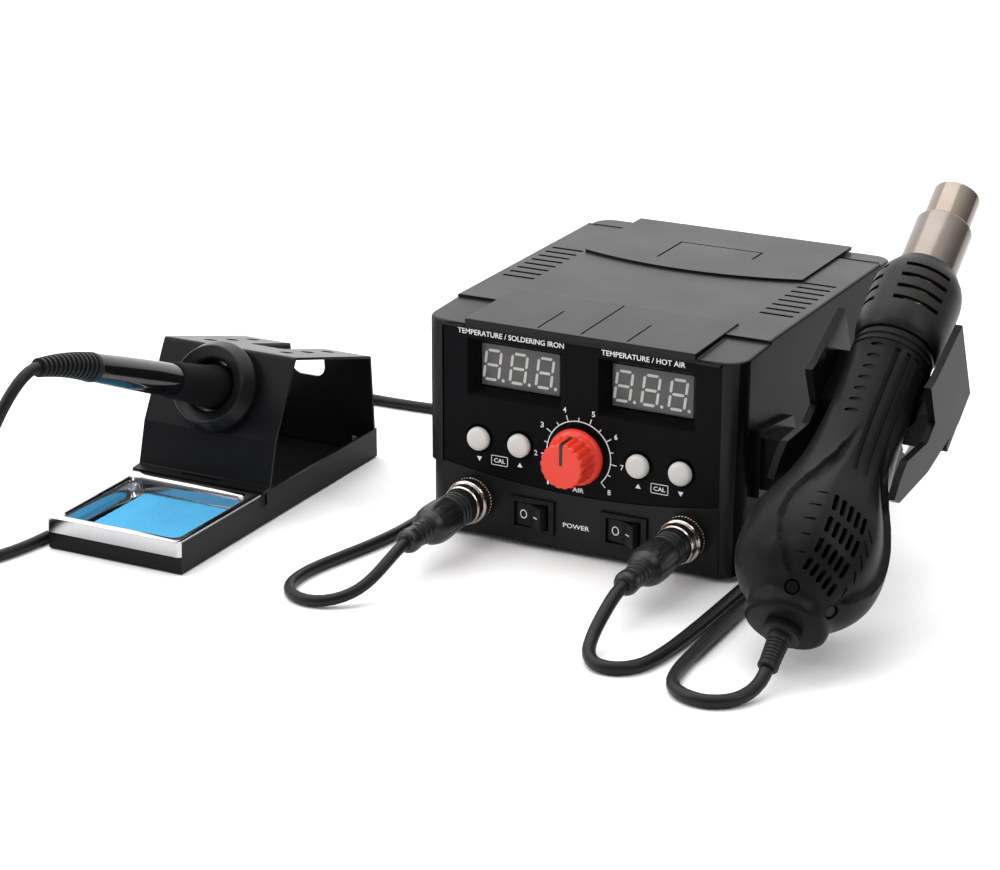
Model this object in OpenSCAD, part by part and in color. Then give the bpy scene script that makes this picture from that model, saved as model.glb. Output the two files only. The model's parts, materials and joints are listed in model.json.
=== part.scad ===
// Two-in-one soldering station: control unit with a hot-air gun in a side
// cradle, and a folded sheet-metal stand holding the soldering iron.
// Millimetres, +Z up, front of the station toward -Y, bench plane at z = 0.

/* [Control unit] */
// Width of the case over its side walls
case_w = 149; // [120:1:180]
// Depth of the case, front face to rear wall
case_d = 177; // [140:1:220]
// Height of the case top above the bench
case_h = 100.5; // [80:0.5:130]
// Height of the rubber feet below the case
foot_h = 3; // [1:0.5:8]
// Plastic wall thickness of the case
wall = 2.5; // [1.5:0.1:4]
// Height of the parting line between cover and base at the sides
split_z = 33; // [25:1:45]
// Distance of each display centre from the middle of the front
display_x = 31.2; // [26:0.1:36]
// Height of the display centres above the bench
display_z = 78.6; // [60:0.1:90]
// Height of the push buttons above the bench
button_z = 46.7; // [40:0.1:55]
// Radius of a push button cap
button_r = 5.2; // [4:0.1:6]
// Height of the air knob's axis above the bench
knob_z = 46.8; // [40:0.1:55]
// Radius of the skirt of the air knob
knob_r = 12.7; // [10:0.1:14]
// Distance of each power switch from the middle of the front
switch_x = 22; // [18:0.5:28]
// Height of the power switches above the bench
switch_z = 15.6; // [13:0.1:20]
// Distance of each cable socket from the middle of the front
socket_x = 50.5; // [45:0.5:60]
// Height of the cable sockets above the bench
socket_z = 18.8; // [15:0.1:24]

/* [Hot-air gun] */
// Sideways position of the gun's axis from the middle of the case
gun_x = 126; // [115:0.5:140]
// Forward position of the gun's tail end
gun_y = -74.6; // [-95:0.1:-40]
// Height of the gun's tail centre above the bench
gun_z = 20.5; // [19:0.1:40]
// Lean of the gun's axis back from the vertical
gun_tilt = 54.5; // [35:0.5:70]
// Turn of the gun about its own axis in the cradle
gun_roll = 45; // [0:1:90]
// Outer radius of the vented heat shroud
shroud_r = 19.3; // [17:0.1:21]
// Outer radius of the steel barrel
barrel_r = 12.4; // [10:0.1:14]
// Outer radius of the nozzle
nozzle_r = 10.3; // [6:0.1:10.5]
// Distance from the tail face to the nozzle's mouth
gun_len = 224; // [215:1:240]

/* [Stand and iron] */
// Middle of the stand measured from the middle of the case
stand_x = -174; // [-220:0.5:-150]
// Width of the stand's base
stand_w = 68.5; // [60:0.5:80]
// Forward position of the stand's front wall
stand_y = -96.3; // [-120:0.1:-60]
// Length of the stand's base
stand_len = 167.3; // [150:0.1:190]
// Height of the stand's base walls
stand_wall_h = 14.4; // [10:0.1:20]
// Thickness of the folded steel sheet
sheet = 1.2; // [0.8:0.1:2]
// Height of the front fold of the cover's top
cover_h = 74.5; // [60:0.5:90]
// Upward tilt of the iron's handle from the horizontal
iron_tilt = 21.4; // [10:0.1:35]
// Radius of the iron's plastic tube at its thick end
iron_r = 7.4; // [6:0.1:9]

/* [Hidden] */
$fn = 48;
// The shared frame has its origin under the middle of everything but the cords.
off_x = 26.3;
off_y = -17.2;
half_w = case_w / 2;
corner_r = 9;
panel_w = 65.4;
arc_low = 27.9;
pad_half = 54;
arc_rise = 6;
arc_r = (panel_w * panel_w + arc_rise * arc_rise) / (2 * arc_rise);
stand_y2 = stand_y + stand_len;
ring_y = -12.6;
ring_z = 54.2;
ring_tilt = 62.5;
pin_y = 0;
rocker_swing = 40;
board_y = 15.4;

// Route of the iron's lead: from its boot down to the bench, along the stand to a
// coil behind it, and from there along the case to the left plug.
iron_lead_r = 2.5;
iron_route_drop = [[-174, -143.3, 101.7], [-174, -149, 102], [-175, -156, 98.5], [-177, -163, 91],
    [-180, -169, 80], [-184, -175, 66], [-189, -180, 50], [-195, -184, 34], [-203, -186, 20],
    [-213, -184, 9], [-222, -178, 4], [-228, -168, 2.6]];
iron_route_out = [[-228.5, -166.8, 2.6], [-230, -160, 2.6], [-229, -146, 2.6], [-223, -130, 2.6],
    [-216, -112, 2.6], [-213, -90, 2.6], [-213, -50, 2.6], [-213, 0, 2.6], [-213, 45, 2.6],
    [-216, 64, 2.6], [-223, 82, 2.6], [-228, 96, 2.6], [-229, 108, 2.6]];
iron_route_in = [[-50.5, -61.6, 18.8], [-50.5, -68, 18], [-51.5, -75, 15], [-54, -83, 10],
    [-58, -90, 6], [-65, -97, 3.4], [-75, -101, 2.6], [-86, -97, 2.6], [-92, -87, 2.6],
    [-92, -70, 2.6], [-87, -50, 2.6], [-82, -30, 2.6], [-79, -8, 2.6], [-79, 20, 2.6],
    [-79, 60, 2.6], [-80, 100, 2.6], [-87, 122, 2.6], [-104, 135, 2.6], [-130, 139, 2.6],
    [-170, 136, 2.6], [-201, 136, 2.6]];
iron_coil_at = [-201, 108, 0];
iron_coil_r = 28;
// Route of the gun's lead: from its boot to the bench, along the case to a coil
// behind it, and back to the right plug.
gun_lead_r = 2.8;
gun_route_drop = [[126, -90.5, 9.1], [126, -96, 6], [124.5, -104, 3.8], [120, -112, 2.9],
    [111, -117, 2.9], [101, -115, 2.9], [94, -109, 2.9]];
gun_route_out = [[92.9, -107, 2.9], [90.5, -98, 2.9], [89, -80, 2.9], [88, -40, 2.9],
    [87, 10, 2.9], [87, 60, 2.9], [87, 110, 2.9], [87, 150, 2.9], [86.5, 176, 2.9],
    [82, 200, 2.9], [72, 222, 2.9], [58, 240, 2.9], [40, 252, 2.9], [24, 256, 2.9],
    [12, 256, 2.9]];
gun_route_in = [[50.5, -61.6, 18.8], [50.5, -69, 17.6], [50, -79, 12.6], [50, -89, 6.8],
    [52.5, -98, 3.6], [59, -105, 2.9], [68.5, -105, 2.9], [76, -97, 2.9], [79, -80, 2.9],
    [80, -50, 2.9], [80, -10, 2.9], [80, 30, 2.9], [80, 70, 2.9], [80, 110, 2.9],
    [80, 145, 2.9], [78, 168, 2.9], [70, 183, 2.9], [55, 191, 2.9], [38, 194, 2.9],
    [24, 194, 2.9], [12, 194, 2.9]];
gun_coil_at = [12, 225, 0];
gun_coil_r = 31;

// ---- helpers -------------------------------------------------------------

module place() {
    translate([off_x, off_y, 0]) children();
}

module lathe(pts, sides = 64) {
    rotate_extrude($fn = sides) polygon(pts);
}

// Turns a shape drawn along +Z so it points out of the front face.
module forward() {
    rotate([90, 0, 0]) children();
}

module box(x0, x1, y0, y1, z0, z1) {
    translate([x0, y0, z0]) cube([x1 - x0, y1 - y0, z1 - z0]);
}

// Upright block with rounded vertical edges.
module round_block(x0, x1, y0, y1, z0, z1, r) {
    translate([x0 + r, y0, z0]) cube([x1 - x0 - 2 * r, y1 - y0, z1 - z0]);
    translate([x0, y0 + r, z0]) cube([x1 - x0, y1 - y0 - 2 * r, z1 - z0]);
    for (x = [x0 + r, x1 - r], y = [y0 + r, y1 - r]) {
        translate([x, y, z0]) cylinder(r = r, h = z1 - z0);
    }
}

// Extrudes a side profile given as [y, z] points between two x positions.
module side_profile(pts, x0, x1) {
    translate([x0, 0, 0]) rotate([90, 0, 90]) linear_extrude(x1 - x0) polygon(pts);
}

module gun_pose() {
    translate([gun_x, gun_y, gun_z]) rotate([-gun_tilt, 0, 0]) children();
}

module gun_body() {
    gun_pose() rotate([0, 0, gun_roll]) children();
}

module iron_pose() {
    translate([stand_x, -18, 56.3]) rotate([90 - iron_tilt, 0, 0]) children();
}

// Round bar swept along a list of points with an even ring spacing.
function seg_len(p, i) = norm(p[i + 1] - p[i]);
function bez(a, b, c, t) = (1 - t) * (1 - t) * a + 2 * t * (1 - t) * b + t * t * c;
function smooth(p, n) = concat([p[0]], [for (i = [1:len(p) - 2], k = [0:n - 1])
    bez((p[i - 1] + p[i]) / 2, p[i], (p[i] + p[i + 1]) / 2, (k + 0.5) / n)], [p[len(p) - 1]]);
function unit(v) = v / norm(v);
function tangent(q, i) = unit(q[min(i + 1, len(q) - 1)] - q[max(i - 1, 0)]);
function side_of(t) = unit(cross(t, abs(t[2]) > 0.8 ? [1, 0, 0] : [0, 0, 1]));
function carry(s, t) = unit(s - (s * t) * t);
function frames(q, i, s) = i >= len(q) ? [] :
    let (t = tangent(q, i), u = carry(s, t)) concat([[t, u]], frames(q, i + 1, u));

module swept(p, r, n = 2, sides = 8) {
    q = smooth(p, n);
    f = frames(q, 0, side_of(tangent(q, 0)));
    pts = [for (i = [0:len(q) - 1], k = [0:sides - 1])
        let (a = 360 * k / sides, v = cross(f[i][0], f[i][1])) q[i] + r * (cos(a) * f[i][1] + sin(a) * v)];
    sideq = [for (i = [0:len(q) - 2], k = [0:sides - 1])
        [i * sides + k, i * sides + (k + 1) % sides, (i + 1) * sides + (k + 1) % sides,
        (i + 1) * sides + k]];
    polyhedron(points = pts, faces = concat([[for (k = [0:sides - 1]) sides - 1 - k]],
        sideq, [[for (k = [0:sides - 1]) (len(q) - 1) * sides + k]]), convexity = 8);
}

// ---- control unit ----------------------------------------------------------

// Big disc whose edge is the bowed parting line of the front, cut from y0 to y1.
module front_bow(y0, y1) {
    translate([0, y1, arc_low + arc_r]) forward() cylinder(r = arc_r, h = y1 - y0, $fn = 360);
}

module base_shell() {
    color([0.07, 0.07, 0.08]) place() difference() {
        union() {
            difference() {
                round_block(-half_w + 1, half_w - 1, 1, case_d - 1, foot_h, split_z, corner_r);
                round_block(-half_w + 1 + wall, half_w - 1 - wall, 1 + wall, case_d - 1 - wall,
                    foot_h + wall, split_z + 1, corner_r - wall);
            }
            box(-panel_w, panel_w, 0.6, 3.4, foot_h, split_z + 2);
            for (x = [-52, 52], y = [28, 150]) {
                translate([x, y, foot_h]) cylinder(r = 4, h = 12);
            }
            for (x = [0, 56], y = [50, 120]) {
                translate([x, y, foot_h]) cylinder(r = 3, h = 8);
            }
        }
        // the front wall ends below the bowed edge of the panel
        intersection() {
            box(-panel_w - 0.1, panel_w + 0.1, -1, 3.5, 0, split_z + 5);
            front_bow(-2, 5);
        }
        for (s = [-1, 1]) {
            box(s * switch_x - 9.7, s * switch_x + 9.7, -1, 6, switch_z - 6.7, switch_z + 6.7);
            translate([s * socket_x, 6, socket_z]) forward() cylinder(r = 8, h = 8);
        }
        box(20, 48, case_d - 5, case_d + 1, 9, 29.4);
        for (x = [-52, 52], y = [28, 150]) {
            translate([x, y, foot_h - 1]) cylinder(r = 1.7, h = 20);
            translate([x, y, foot_h - 1]) cylinder(r = 3.4, h = 4);
        }
        for (x = [-60, 60], y = [14, 164]) {
            translate([x, y, foot_h - 1]) cylinder(r = 6.1, h = 1.8);
        }
        for (i = [-4:4]) {
            box(i * 9 - 2, i * 9 + 2, 70, 100, foot_h - 1, foot_h + wall + 1);
        }
    }
}

module cover_profile(x0, x1, front_z) {
    side_profile([[-0.6, split_z - 8], [case_d + 1, split_z - 8], [case_d + 1, case_h - 1.4],
        [160, case_h - 1], [160, case_h], [30, case_h], [30, case_h - 1.2], [-0.6, front_z]], x0, x1);
}

module top_cover() {
    color([0.09, 0.09, 0.09]) place() difference() {
        union() {
            intersection() {
                round_block(-half_w, half_w, 0, case_d, split_z, case_h + 4, corner_r);
                union() {
                    cover_profile(-half_w, -pad_half, case_h - 2.4);
                    cover_profile(pad_half, half_w, case_h - 2.4);
                    cover_profile(-pad_half, pad_half, case_h - 1.2);
                }
            }
            // raised rear panel with a bowed front edge
            translate([0, 0, case_h - 0.6]) linear_extrude(1.7) intersection() {
                translate([0, 268]) circle(r = 161, $fn = 200);
                translate([-53.6, 104]) square([107.2, case_d - 104.4]);
            }
            // raised middle of the front, with its lip above the panel
            intersection() {
                side_profile([[-1.2, case_h - 3], [46, case_h - 3], [46, case_h + 1], [-1.2, case_h + 0.1]],
                    -pad_half, pad_half);
                round_block(-pad_half, pad_half, -20, 46, case_h - 4, case_h + 4, 3);
            }
            for (s = [-1, 1]) {
                box(s * 60 - 5.4, s * 60 + 5.4, -0.7, 0.6, case_h - 4.4, case_h - 3.2);
            }
        }
        difference() {
            round_block(-half_w + wall, half_w - wall, wall, case_d - wall, split_z - 1,
                case_h - wall - 3.6, corner_r - wall);
            // the panel's seat stays solid at both cheeks
            box(-half_w, -panel_w - 0.2, -1, 4, 0, case_h);
            box(panel_w + 0.2, half_w, -1, 4, 0, case_h);
        }
        box(-panel_w - 0.2, panel_w + 0.2, -2, 4.2, split_z - 1, case_h - 4.4);
        // vents
        for (s = [-1, 1], i = [0:7]) {
            translate([s * 62.2, 65.5 + 7.1 * i, case_h - 8]) box(-7.8, 7.8, -1.1, 1.1, 0, 20);
        }
        // shallow grooves pressed into the front and rear of the top
        for (g = [[-20, 26], [0.2, 44], [21.8, 25]]) {
            translate([g[0], 0, case_h + 0.1]) rotate([1.1, 0, 0])
                box(-0.4, 0.4, 1, g[1], -0.5, 6);
        }
        box(-19.6, 21.7, 147, 148, case_h + 0.5, case_h + 3);
        box(-19.6, -18.6, 120, 148, case_h + 0.5, case_h + 3);
        box(20.7, 21.7, 136, 148, case_h + 0.5, case_h + 3);
        for (z = [46, 56]) {
            translate([half_w - 5, 32, z]) rotate([0, 90, 0]) cylinder(r = 1.7, h = 8);
        }
        // rear vents
        for (i = [0:9]) {
            box(-52 + 5 * i, -49.6 + 5 * i, case_d - 5, case_d + 2, 52, 78);
        }
    }
}

module window_cut(x) {
    hull() {
        box(x - 22.6, x + 22.6, 0.2, 0.3, display_z - 13.1, display_z + 13.1);
        box(x - 19, x + 19, 6.9, 7, display_z - 9.7, display_z + 9.7);
    }
}

module front_panel() {
    color([0.06, 0.06, 0.065]) place() difference() {
        union() {
            difference() {
                intersection() {
                    box(-panel_w, panel_w, 0.6, 3.1, split_z - 8, case_h - 4.6);
                    translate([0, 0, 0.3]) front_bow(-1, 5);
                }
            }
            for (x = [-display_x, display_x]) {
                hull() {
                    box(x - 23.8, x + 23.8, 3, 3.1, display_z - 14.3, display_z + 14.3);
                    box(x - 20.2, x + 20.2, 6.7, 6.8, display_z - 10.9, display_z + 10.9);
                }
            }
        }
        for (x = [-display_x, display_x]) {
            window_cut(x);
        }
        for (x = [-47.8, -28.1, 28.1, 47.8]) {
            translate([x, 5, button_z]) forward() cylinder(r = button_r + 0.4, h = 8);
        }
        translate([0, 5, knob_z]) forward() cylinder(r = 3.7, h = 8);
    }
}

// One seven-segment figure, 0.2 mm proud of the lens.
module figure8(x, z) {
    for (k = [0:2]) {
        box(x - 2.9, x + 2.9, 6.9, 7.2, z - 6.9 + 6.2 * k, z - 5.5 + 6.2 * k);
    }
    for (s = [-1, 1], k = [0, 1]) {
        box(x + s * 3.6 - 0.7, x + s * 3.6 + 0.7, 6.9, 7.2, z - 5.4 + 6.2 * k, z - 0.8 + 6.2 * k);
    }
    box(x + 5, x + 6.4, 6.9, 7.2, z - 6.9, z - 5.5);
}

module display(x) {
    color([0.22, 0.22, 0.23]) place() union() {
        box(x - 18.8, x + 18.8, 7.1, board_y, display_z - 9.5, display_z + 9.5);
        for (k = [-1:1]) {
            figure8(x + 12.4 * k - 0.8, display_z);
        }
    }
}

module display_left() {
    display(-display_x);
}

module display_right() {
    display(display_x);
}

module display_board() {
    color([0.1, 0.3, 0.15]) place() difference() {
        box(-60, 60, board_y, board_y + 1.6, 39, 93);
        for (x = [-57, 57], z = [42, 90]) {
            translate([x, board_y + 3, z]) forward() cylinder(r = 1.6, h = 5);
        }
    }
}

module knob_pot() {
    color([0.4, 0.42, 0.44]) place() translate([0, 0, knob_z]) difference() {
        union() {
            translate([0, board_y, 0]) forward() cylinder(r = 8.4, h = 8);
            translate([0, 8, 0]) forward() cylinder(r = 3.4, h = 8.6);
            translate([0, 0.4, 0]) forward() cylinder(r = 5, h = 1.4, $fn = 6);
        }
        translate([0, 14, 0]) forward() cylinder(r = 2.4, h = 20);
    }
}

module knob_shaft() {
    color([0.75, 0.76, 0.77]) place() translate([0, 12, knob_z]) forward()
        cylinder(r = 2, h = 23);
}

module air_knob() {
    color([0.95, 0.2, 0.12]) place() translate([0, 0, knob_z]) forward() difference() {
        union() {
            lathe([[0, 1.6], [knob_r, 1.6], [knob_r, 3], [knob_r - 0.8, 4.6], [10.6, 7], [10.2, 16],
                [9.6, 16.8], [0, 16.8]]);
        }
        for (a = [0:20:340]) {
            rotate([0, 0, a + 10]) translate([11.5, 0, 6.4]) cylinder(r = 1.4, h = 12);
        }
        translate([0, 0, 0]) cylinder(r = 5.6, h = 4);
        translate([0, 0, 3]) cylinder(r = 2, h = 9);
        translate([0, 6.2, 17.6]) cube([1.5, 11.2, 3], center = true);
        translate([0, 10.6, 10]) cube([1.5, 1.6, 16], center = true);
    }
}

module knob_pointer() {
    color([0.03, 0.03, 0.03]) place() translate([0, 0, knob_z]) forward() {
        translate([-0.65, 0.8, 16.2]) cube([1.3, 9.6, 0.7]);
        translate([-0.65, 9.9, 6.2]) cube([1.3, 0.8, 10.7]);
    }
}

// Push button cap with its retaining flange and stem.
module button(x) {
    color([0.8, 0.8, 0.78]) place() translate([x, 0, button_z]) forward()
        lathe([[0, -8], [1.8, -8], [1.8, -5], [button_r + 0.9, -5], [button_r + 0.9, -4],
            [button_r, -4], [button_r, 1.2], [button_r - 0.5, 2], [button_r - 1.7, 2.7], [0, 3]], 40);
}

module button_1() {
    button(-47.8);
}

module button_2() {
    button(-28.1);
}

module button_3() {
    button(28.1);
}

module button_4() {
    button(47.8);
}

module button_switches() {
    color([0.15, 0.15, 0.16]) place() for (x = [-47.8, -28.1, 28.1, 47.8]) {
        box(x - 3, x + 3, board_y - 4, board_y, button_z - 3, button_z + 3);
        translate([x, board_y - 3.6, button_z]) forward() cylinder(r = 1.6, h = 1.6);
    }
}

// Switch housing: snap-in body with a raised frame on the front.
module bezel(x) {
    color([0.05, 0.05, 0.055]) place() difference() {
        union() {
            box(x - 10.9, x + 10.9, -1, 0.6, switch_z - 7.8, switch_z + 7.8);
            box(x - 9.4, x + 9.4, 0.5, 17, switch_z - 6.4, switch_z + 6.4);
            for (k = [-6, 0, 6]) {
                box(x + k - 0.4, x + k + 0.4, 16, 24, switch_z - 2.4, switch_z + 2.4);
            }
        }
        box(x - 8.1, x + 8.1, -2, 14, switch_z - 5.6, switch_z + 5.6);
    }
}

module switch_bezels() {
    bezel(-switch_x);
    bezel(switch_x);
}

// Rocker shown with the left side pressed in; it turns about an upright pin.
module rocker(x) {
    color([0.06, 0.06, 0.065]) place() translate([x, pin_y, switch_z]) rotate([0, 0, -rocker_swing / 2]) {
        translate([0, 0, -5.1]) linear_extrude(10.2) polygon([[-7.6, -2.4], [0, -0.6], [7.6, -2.4],
            [7.8, -1.6], [7.8, 0.8], [4.6, 5.4], [-4.6, 5.4], [-7.8, 0.8], [-7.8, -1.6]]);
        translate([0, 0, -5.5]) cylinder(r = 0.5, h = 11);
    }
}

module rocker_left() {
    rocker(-switch_x);
}

module rocker_right() {
    rocker(switch_x);
}

module socket(x) {
    color([0.7, 0.69, 0.66]) place() translate([x, 0, socket_z]) forward() difference() {
        lathe([[0, -18], [5, -18], [5, -10], [7.6, -10], [7.6, -0.6], [9, -0.6], [9, 1], [6.9, 1],
            [6.9, 5.5], [0, 5.5]]);
        translate([0, 0, 0.5]) cylinder(r = 5.6, h = 8);
    }
}

module panel_sockets() {
    socket(-socket_x);
    socket(socket_x);
}

// Knurled coupling ring that screws the plug onto the socket.
module plug_ring(x) {
    color([0.74, 0.71, 0.67]) place() translate([x, 0, socket_z]) forward() difference() {
        lathe([[7.4, 1.5], [9.7, 1.5], [9.9, 2], [9.9, 7], [9.5, 7.6], [9, 7.8], [8.9, 11.4],
            [8.5, 12], [8.5, 8.4], [7.4, 8.4]]);
        for (a = [0:15:345]) {
            rotate([0, 0, a]) translate([10.3, 0, 2.4]) cylinder(r = 0.6, h = 4.4, $fn = 4);
        }
    }
}

module plug_ring_left() {
    plug_ring(-socket_x);
}

module plug_ring_right() {
    plug_ring(socket_x);
}

// Rubber plug body with ribs and a flexible boot.
module plug(x) {
    color([0.04, 0.04, 0.045]) place() translate([x, 0, socket_z]) forward()
        lathe([[0, 5.9], [6.6, 5.9], [6.6, 9], [7.9, 9], [8, 16], [7.3, 16.4], [7.3, 17.4], [8, 17.8],
            [8, 19.2], [7.3, 19.6], [7.3, 20.6], [8.1, 21], [8.1, 22.4], [7.4, 22.8], [7.4, 23.8],
            [8.2, 24.2], [8.8, 30], [8.9, 36], [8.3, 40], [6.6, 43], [4.6, 44.5], [5.4, 45],
            [5.3, 46.8], [4.4, 47.2], [4.4, 48.2], [5.2, 48.6], [5.1, 50.4], [4.2, 50.8],
            [4.2, 51.8], [5, 52.2], [5, 54], [4.2, 54.6], [5.3, 55.4], [5.3, 58.6], [4.7, 60.6],
            [3.4, 61.6], [0, 61.6]], 48);
}

module plug_left() {
    plug(-socket_x);
}

module plug_right() {
    plug(socket_x);
}

module case_feet() {
    color([0.1, 0.1, 0.1]) place() for (x = [-60, 60], y = [14, 164]) {
        translate([x, y, 0]) lathe([[0, 0], [5.2, 0], [6, 0.8], [6, foot_h + 0.8], [0, foot_h + 0.8]], 32);
    }
}

module screw() {
    cylinder(r = 1.5, h = 13);
    cylinder(r = 2.9, h = 2.2);
}

module case_screws() {
    color([0.6, 0.6, 0.62]) place() {
        for (x = [-52, 52], y = [28, 150]) {
            translate([x, y, foot_h + 0.6]) screw();
        }
        for (z = [46, 56]) {
            translate([half_w + 4.4, 32, z]) rotate([0, -90, 0]) screw();
        }
    }
}

module mains_inlet() {
    color([0.08, 0.08, 0.085]) place() difference() {
        union() {
            box(19, 49, case_d - 1, case_d + 1.4, 8, 30.4);
            box(20.4, 47.6, case_d - 18, case_d, 9.4, 29);
        }
        box(23, 45, case_d - 14, case_d + 2, 12, 26.6);
    }
}

module main_board() {
    color([0.1, 0.32, 0.16]) place() union() {
        box(-6, 62, 40, 144, 11, 12.6);
        box(4, 26, 60, 90, 12.5, 30);
        box(40, 56, 96, 120, 12.5, 34);
        for (p = [[32, 60], [32, 74], [50, 60], [14, 110]]) {
            translate([p[0], p[1], 12.5]) cylinder(r = 5.5, h = 18);
        }
    }
}

module transformer() {
    color([0.35, 0.3, 0.28]) place() union() {
        box(-62, -14, 78, 122, foot_h + wall, 46);
        box(-56, -20, 68, 132, foot_h + wall + 5, 40);
        box(-68, -8, 92, 108, foot_h + wall, foot_h + wall + 2);
    }
}

wing = [[-9, 150.5], [27, 143], [27, 127], [14, 92], [-3, 64], [-9, 61], [-11, 70],
    [-11, 79], [2, 98], [2, 108], [-16, 112], [-14, 117]];

// Cradle: two wings and a trough following the gun, on an arm from the case.
module cradle() {
    color([0.08, 0.08, 0.085]) place() difference() {
        union() {
            side_profile([[14, 36], [50, 38], [60, 45], [50, 62], [14, 66]], half_w, half_w + 3.2);
            side_profile([[17, 39], [48, 41], [58, 50], [46, 58], [17, 62]], half_w + 3, half_w + 16);
            side_profile([[20, 42], [46, 43], [55, 50], [46, 56], [20, 54]], half_w + 15, gun_x + 2);
            gun_pose() {
                box(-24, 2, 24, 44, 101, 121);
                for (s = [-1, 1]) {
                    translate([s * 25.6 - 1.6, 0, 0]) rotate([90, 0, 90]) linear_extrude(3.2)
                        polygon(wing);
                }
                box(-27, 27, 23.8, 27, 112, 143);
                box(-25, 25, 3, 26, 112, 138);
            }
        }
        gun_pose() translate([0, 0, 60]) cylinder(r = 18.3, h = 82);
        gun_pose() translate([0, 0, 139]) cylinder(r = 20.6, h = 40);
        gun_pose() box(-18.3, 18.3, -20, 0, 60, 142);
        for (z = [46, 56]) {
            translate([half_w - 1, 32, z]) rotate([0, 90, 0]) cylinder(r = 1.7, h = 80);
            translate([half_w + 2, 32, z]) rotate([0, 90, 0]) cylinder(r = 3.2, h = 80);
        }
    }
}

// ---- hot-air gun -------------------------------------------------------------

gun_out = [[0, 0], [15.6, 0], [17, 1.4], [17.3, 6], [18.6, 8.4], [23, 13], [27, 19], [29.4, 26],
    [30, 34], [29.2, 42], [26.5, 52], [22.6, 62], [19.6, 72], [17.6, 84], [16.6, 96], [16.3, 112],
    [16.6, 124], [17, 131], [16.4, 131.3], [16.4, 132.4], [17.2, 133], [17.2, 134.2], [16.5, 134.6],
    [16.5, 135.6], [17.2, 136], [17.2, 137.2], [16.5, 137.6], [16.5, 139], [15, 139.6], [15, 150], [0, 150]];
gun_in = [[0, 3], [14, 3], [14.6, 5], [14.9, 11], [20.9, 15.6], [24.6, 20.4], [27, 27], [27.6, 34],
    [26.8, 41],
    [24.2, 51], [20.4, 61], [17.2, 72], [15.2, 84], [14.2, 96], [13.9, 112], [13.6, 128], [13, 151],
    [0, 151]];

// Two screw pockets slope into the shoulder behind the grip's neck.
module gun_pockets() {
    for (a = [-31.5, 31.5]) {
        rotate([0, 0, a]) translate([0, -16.7, 9.2]) rotate([120, 0, 0]) children();
    }
}

// A shallow groove that follows the front of the grip at x.
module grip_groove(x) {
    stations = [[67, 20.2], [76, 18], [86, 16.6], [100, 15.6], [118, 15.5], [130, 15.9]];
    floor_line = [for (s = stations) [-sqrt(s[1] * s[1] - x * x), s[0]]];
    side_profile(concat(floor_line, [[-30, 130], [-30, 67]]), x - 1.1, x + 1.1);
}

module gun_hull() {
    difference() {
        lathe(gun_out, 72);
        lathe(gun_in, 48);
        translate([0, 0, -1]) cylinder(r = 5, h = 6);
        gun_pockets() cylinder(r = 3.2, h = 10);
    }
}

module gun_front_shell() {
    color([0.08, 0.08, 0.085]) place() gun_body() difference() {
        intersection() {
            gun_hull();
            box(-40, 40, -40, -0.05, -5, 160);
        }
        // air vents: four rows of five slots, each row sloping down to the right
        for (i = [0:4], row = [[40.9, 49.2], [30.3, 37.9], [21.3, 27.6], [14.4, 19.3]]) {
            x = -9.9 + 3.4 * i;
            box(x - 1, x + 1, -40, -14, row[0] - 0.9 * i, row[1] - 0.9 * i);
        }
        for (i = [0:3]) {
            grip_groove(-5.4 + 4.75 * i);
        }
        // finger marks on the left of the grip
        for (k = [0:6]) {
            rotate([0, 0, -49]) box(-3, 3, -18, -15.7, 94.6 + 5.67 * k, 96.6 + 5.67 * k);
        }
    }
}

module gun_rear_shell() {
    color([0.08, 0.08, 0.085]) place() gun_body() intersection() {
        gun_hull();
        box(-40, 40, 0.05, 40, -5, 160);
    }
}

module heat_shroud() {
    color([0.09, 0.09, 0.09]) place() gun_body() difference() {
        rotate([0, 0, 15]) lathe([[15.4, 140], [17.4, 140], [18.6, 143.4], [shroud_r, 149], [shroud_r, 167],
            [18.6, 172], [17, 176], [13.8, 181], [13.2, 181], [13.2, 179], [15.4, 175],
            [17.2, 169], [17.4, 150], [15.2, 147]], 72);
        // three sets of four slots; the fourth side is plain
        for (k = [0:3], a = [-141, -231, -321]) {
            rotate([0, 0, a]) rotate_extrude(angle = 62)
                translate([14, 152 + 6 * k]) square([8, 2]);
        }
    }
}

module gun_barrel() {
    color([0.72, 0.71, 0.69]) place() gun_body() lathe([[11.6, 151], [barrel_r, 151],
        [barrel_r, 206.4], [11.5, 206.4], [11.5, 206], [11.6, 206]], 64);
}

module nozzle() {
    color([0.66, 0.62, 0.58]) place() gun_body() lathe([[9.5, 190], [11.1, 190], [11.1, 193],
        [nozzle_r, 193], [nozzle_r, gun_len - 0.4], [nozzle_r - 0.4, gun_len], [9.5, gun_len]], 64);
}

module heater_core() {
    color([0.85, 0.82, 0.74]) place() gun_body() difference() {
        union() {
            translate([0, 0, 96]) cylinder(r = 7, h = 86);
            translate([0, 0, 146]) cylinder(r = 13, h = 2);
            translate([0, 0, 151.4]) cylinder(r = 11.5, h = 3);
        }
        for (a = [0:60:300]) {
            rotate([0, 0, a]) translate([4.2, 0, 90]) cylinder(r = 1.3, h = 100, $fn = 16);
            rotate([0, 0, a]) translate([9.2, 0, 140]) cylinder(r = 1.4, h = 20, $fn = 16);
        }
    }
}

module fan_motor() {
    color([0.3, 0.31, 0.33]) place() gun_body() union() {
        translate([0, 0, 6]) cylinder(r = 11, h = 12);
        translate([0, 0, 5.5]) cylinder(r = 14.4, h = 1.6);
    }
}

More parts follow.
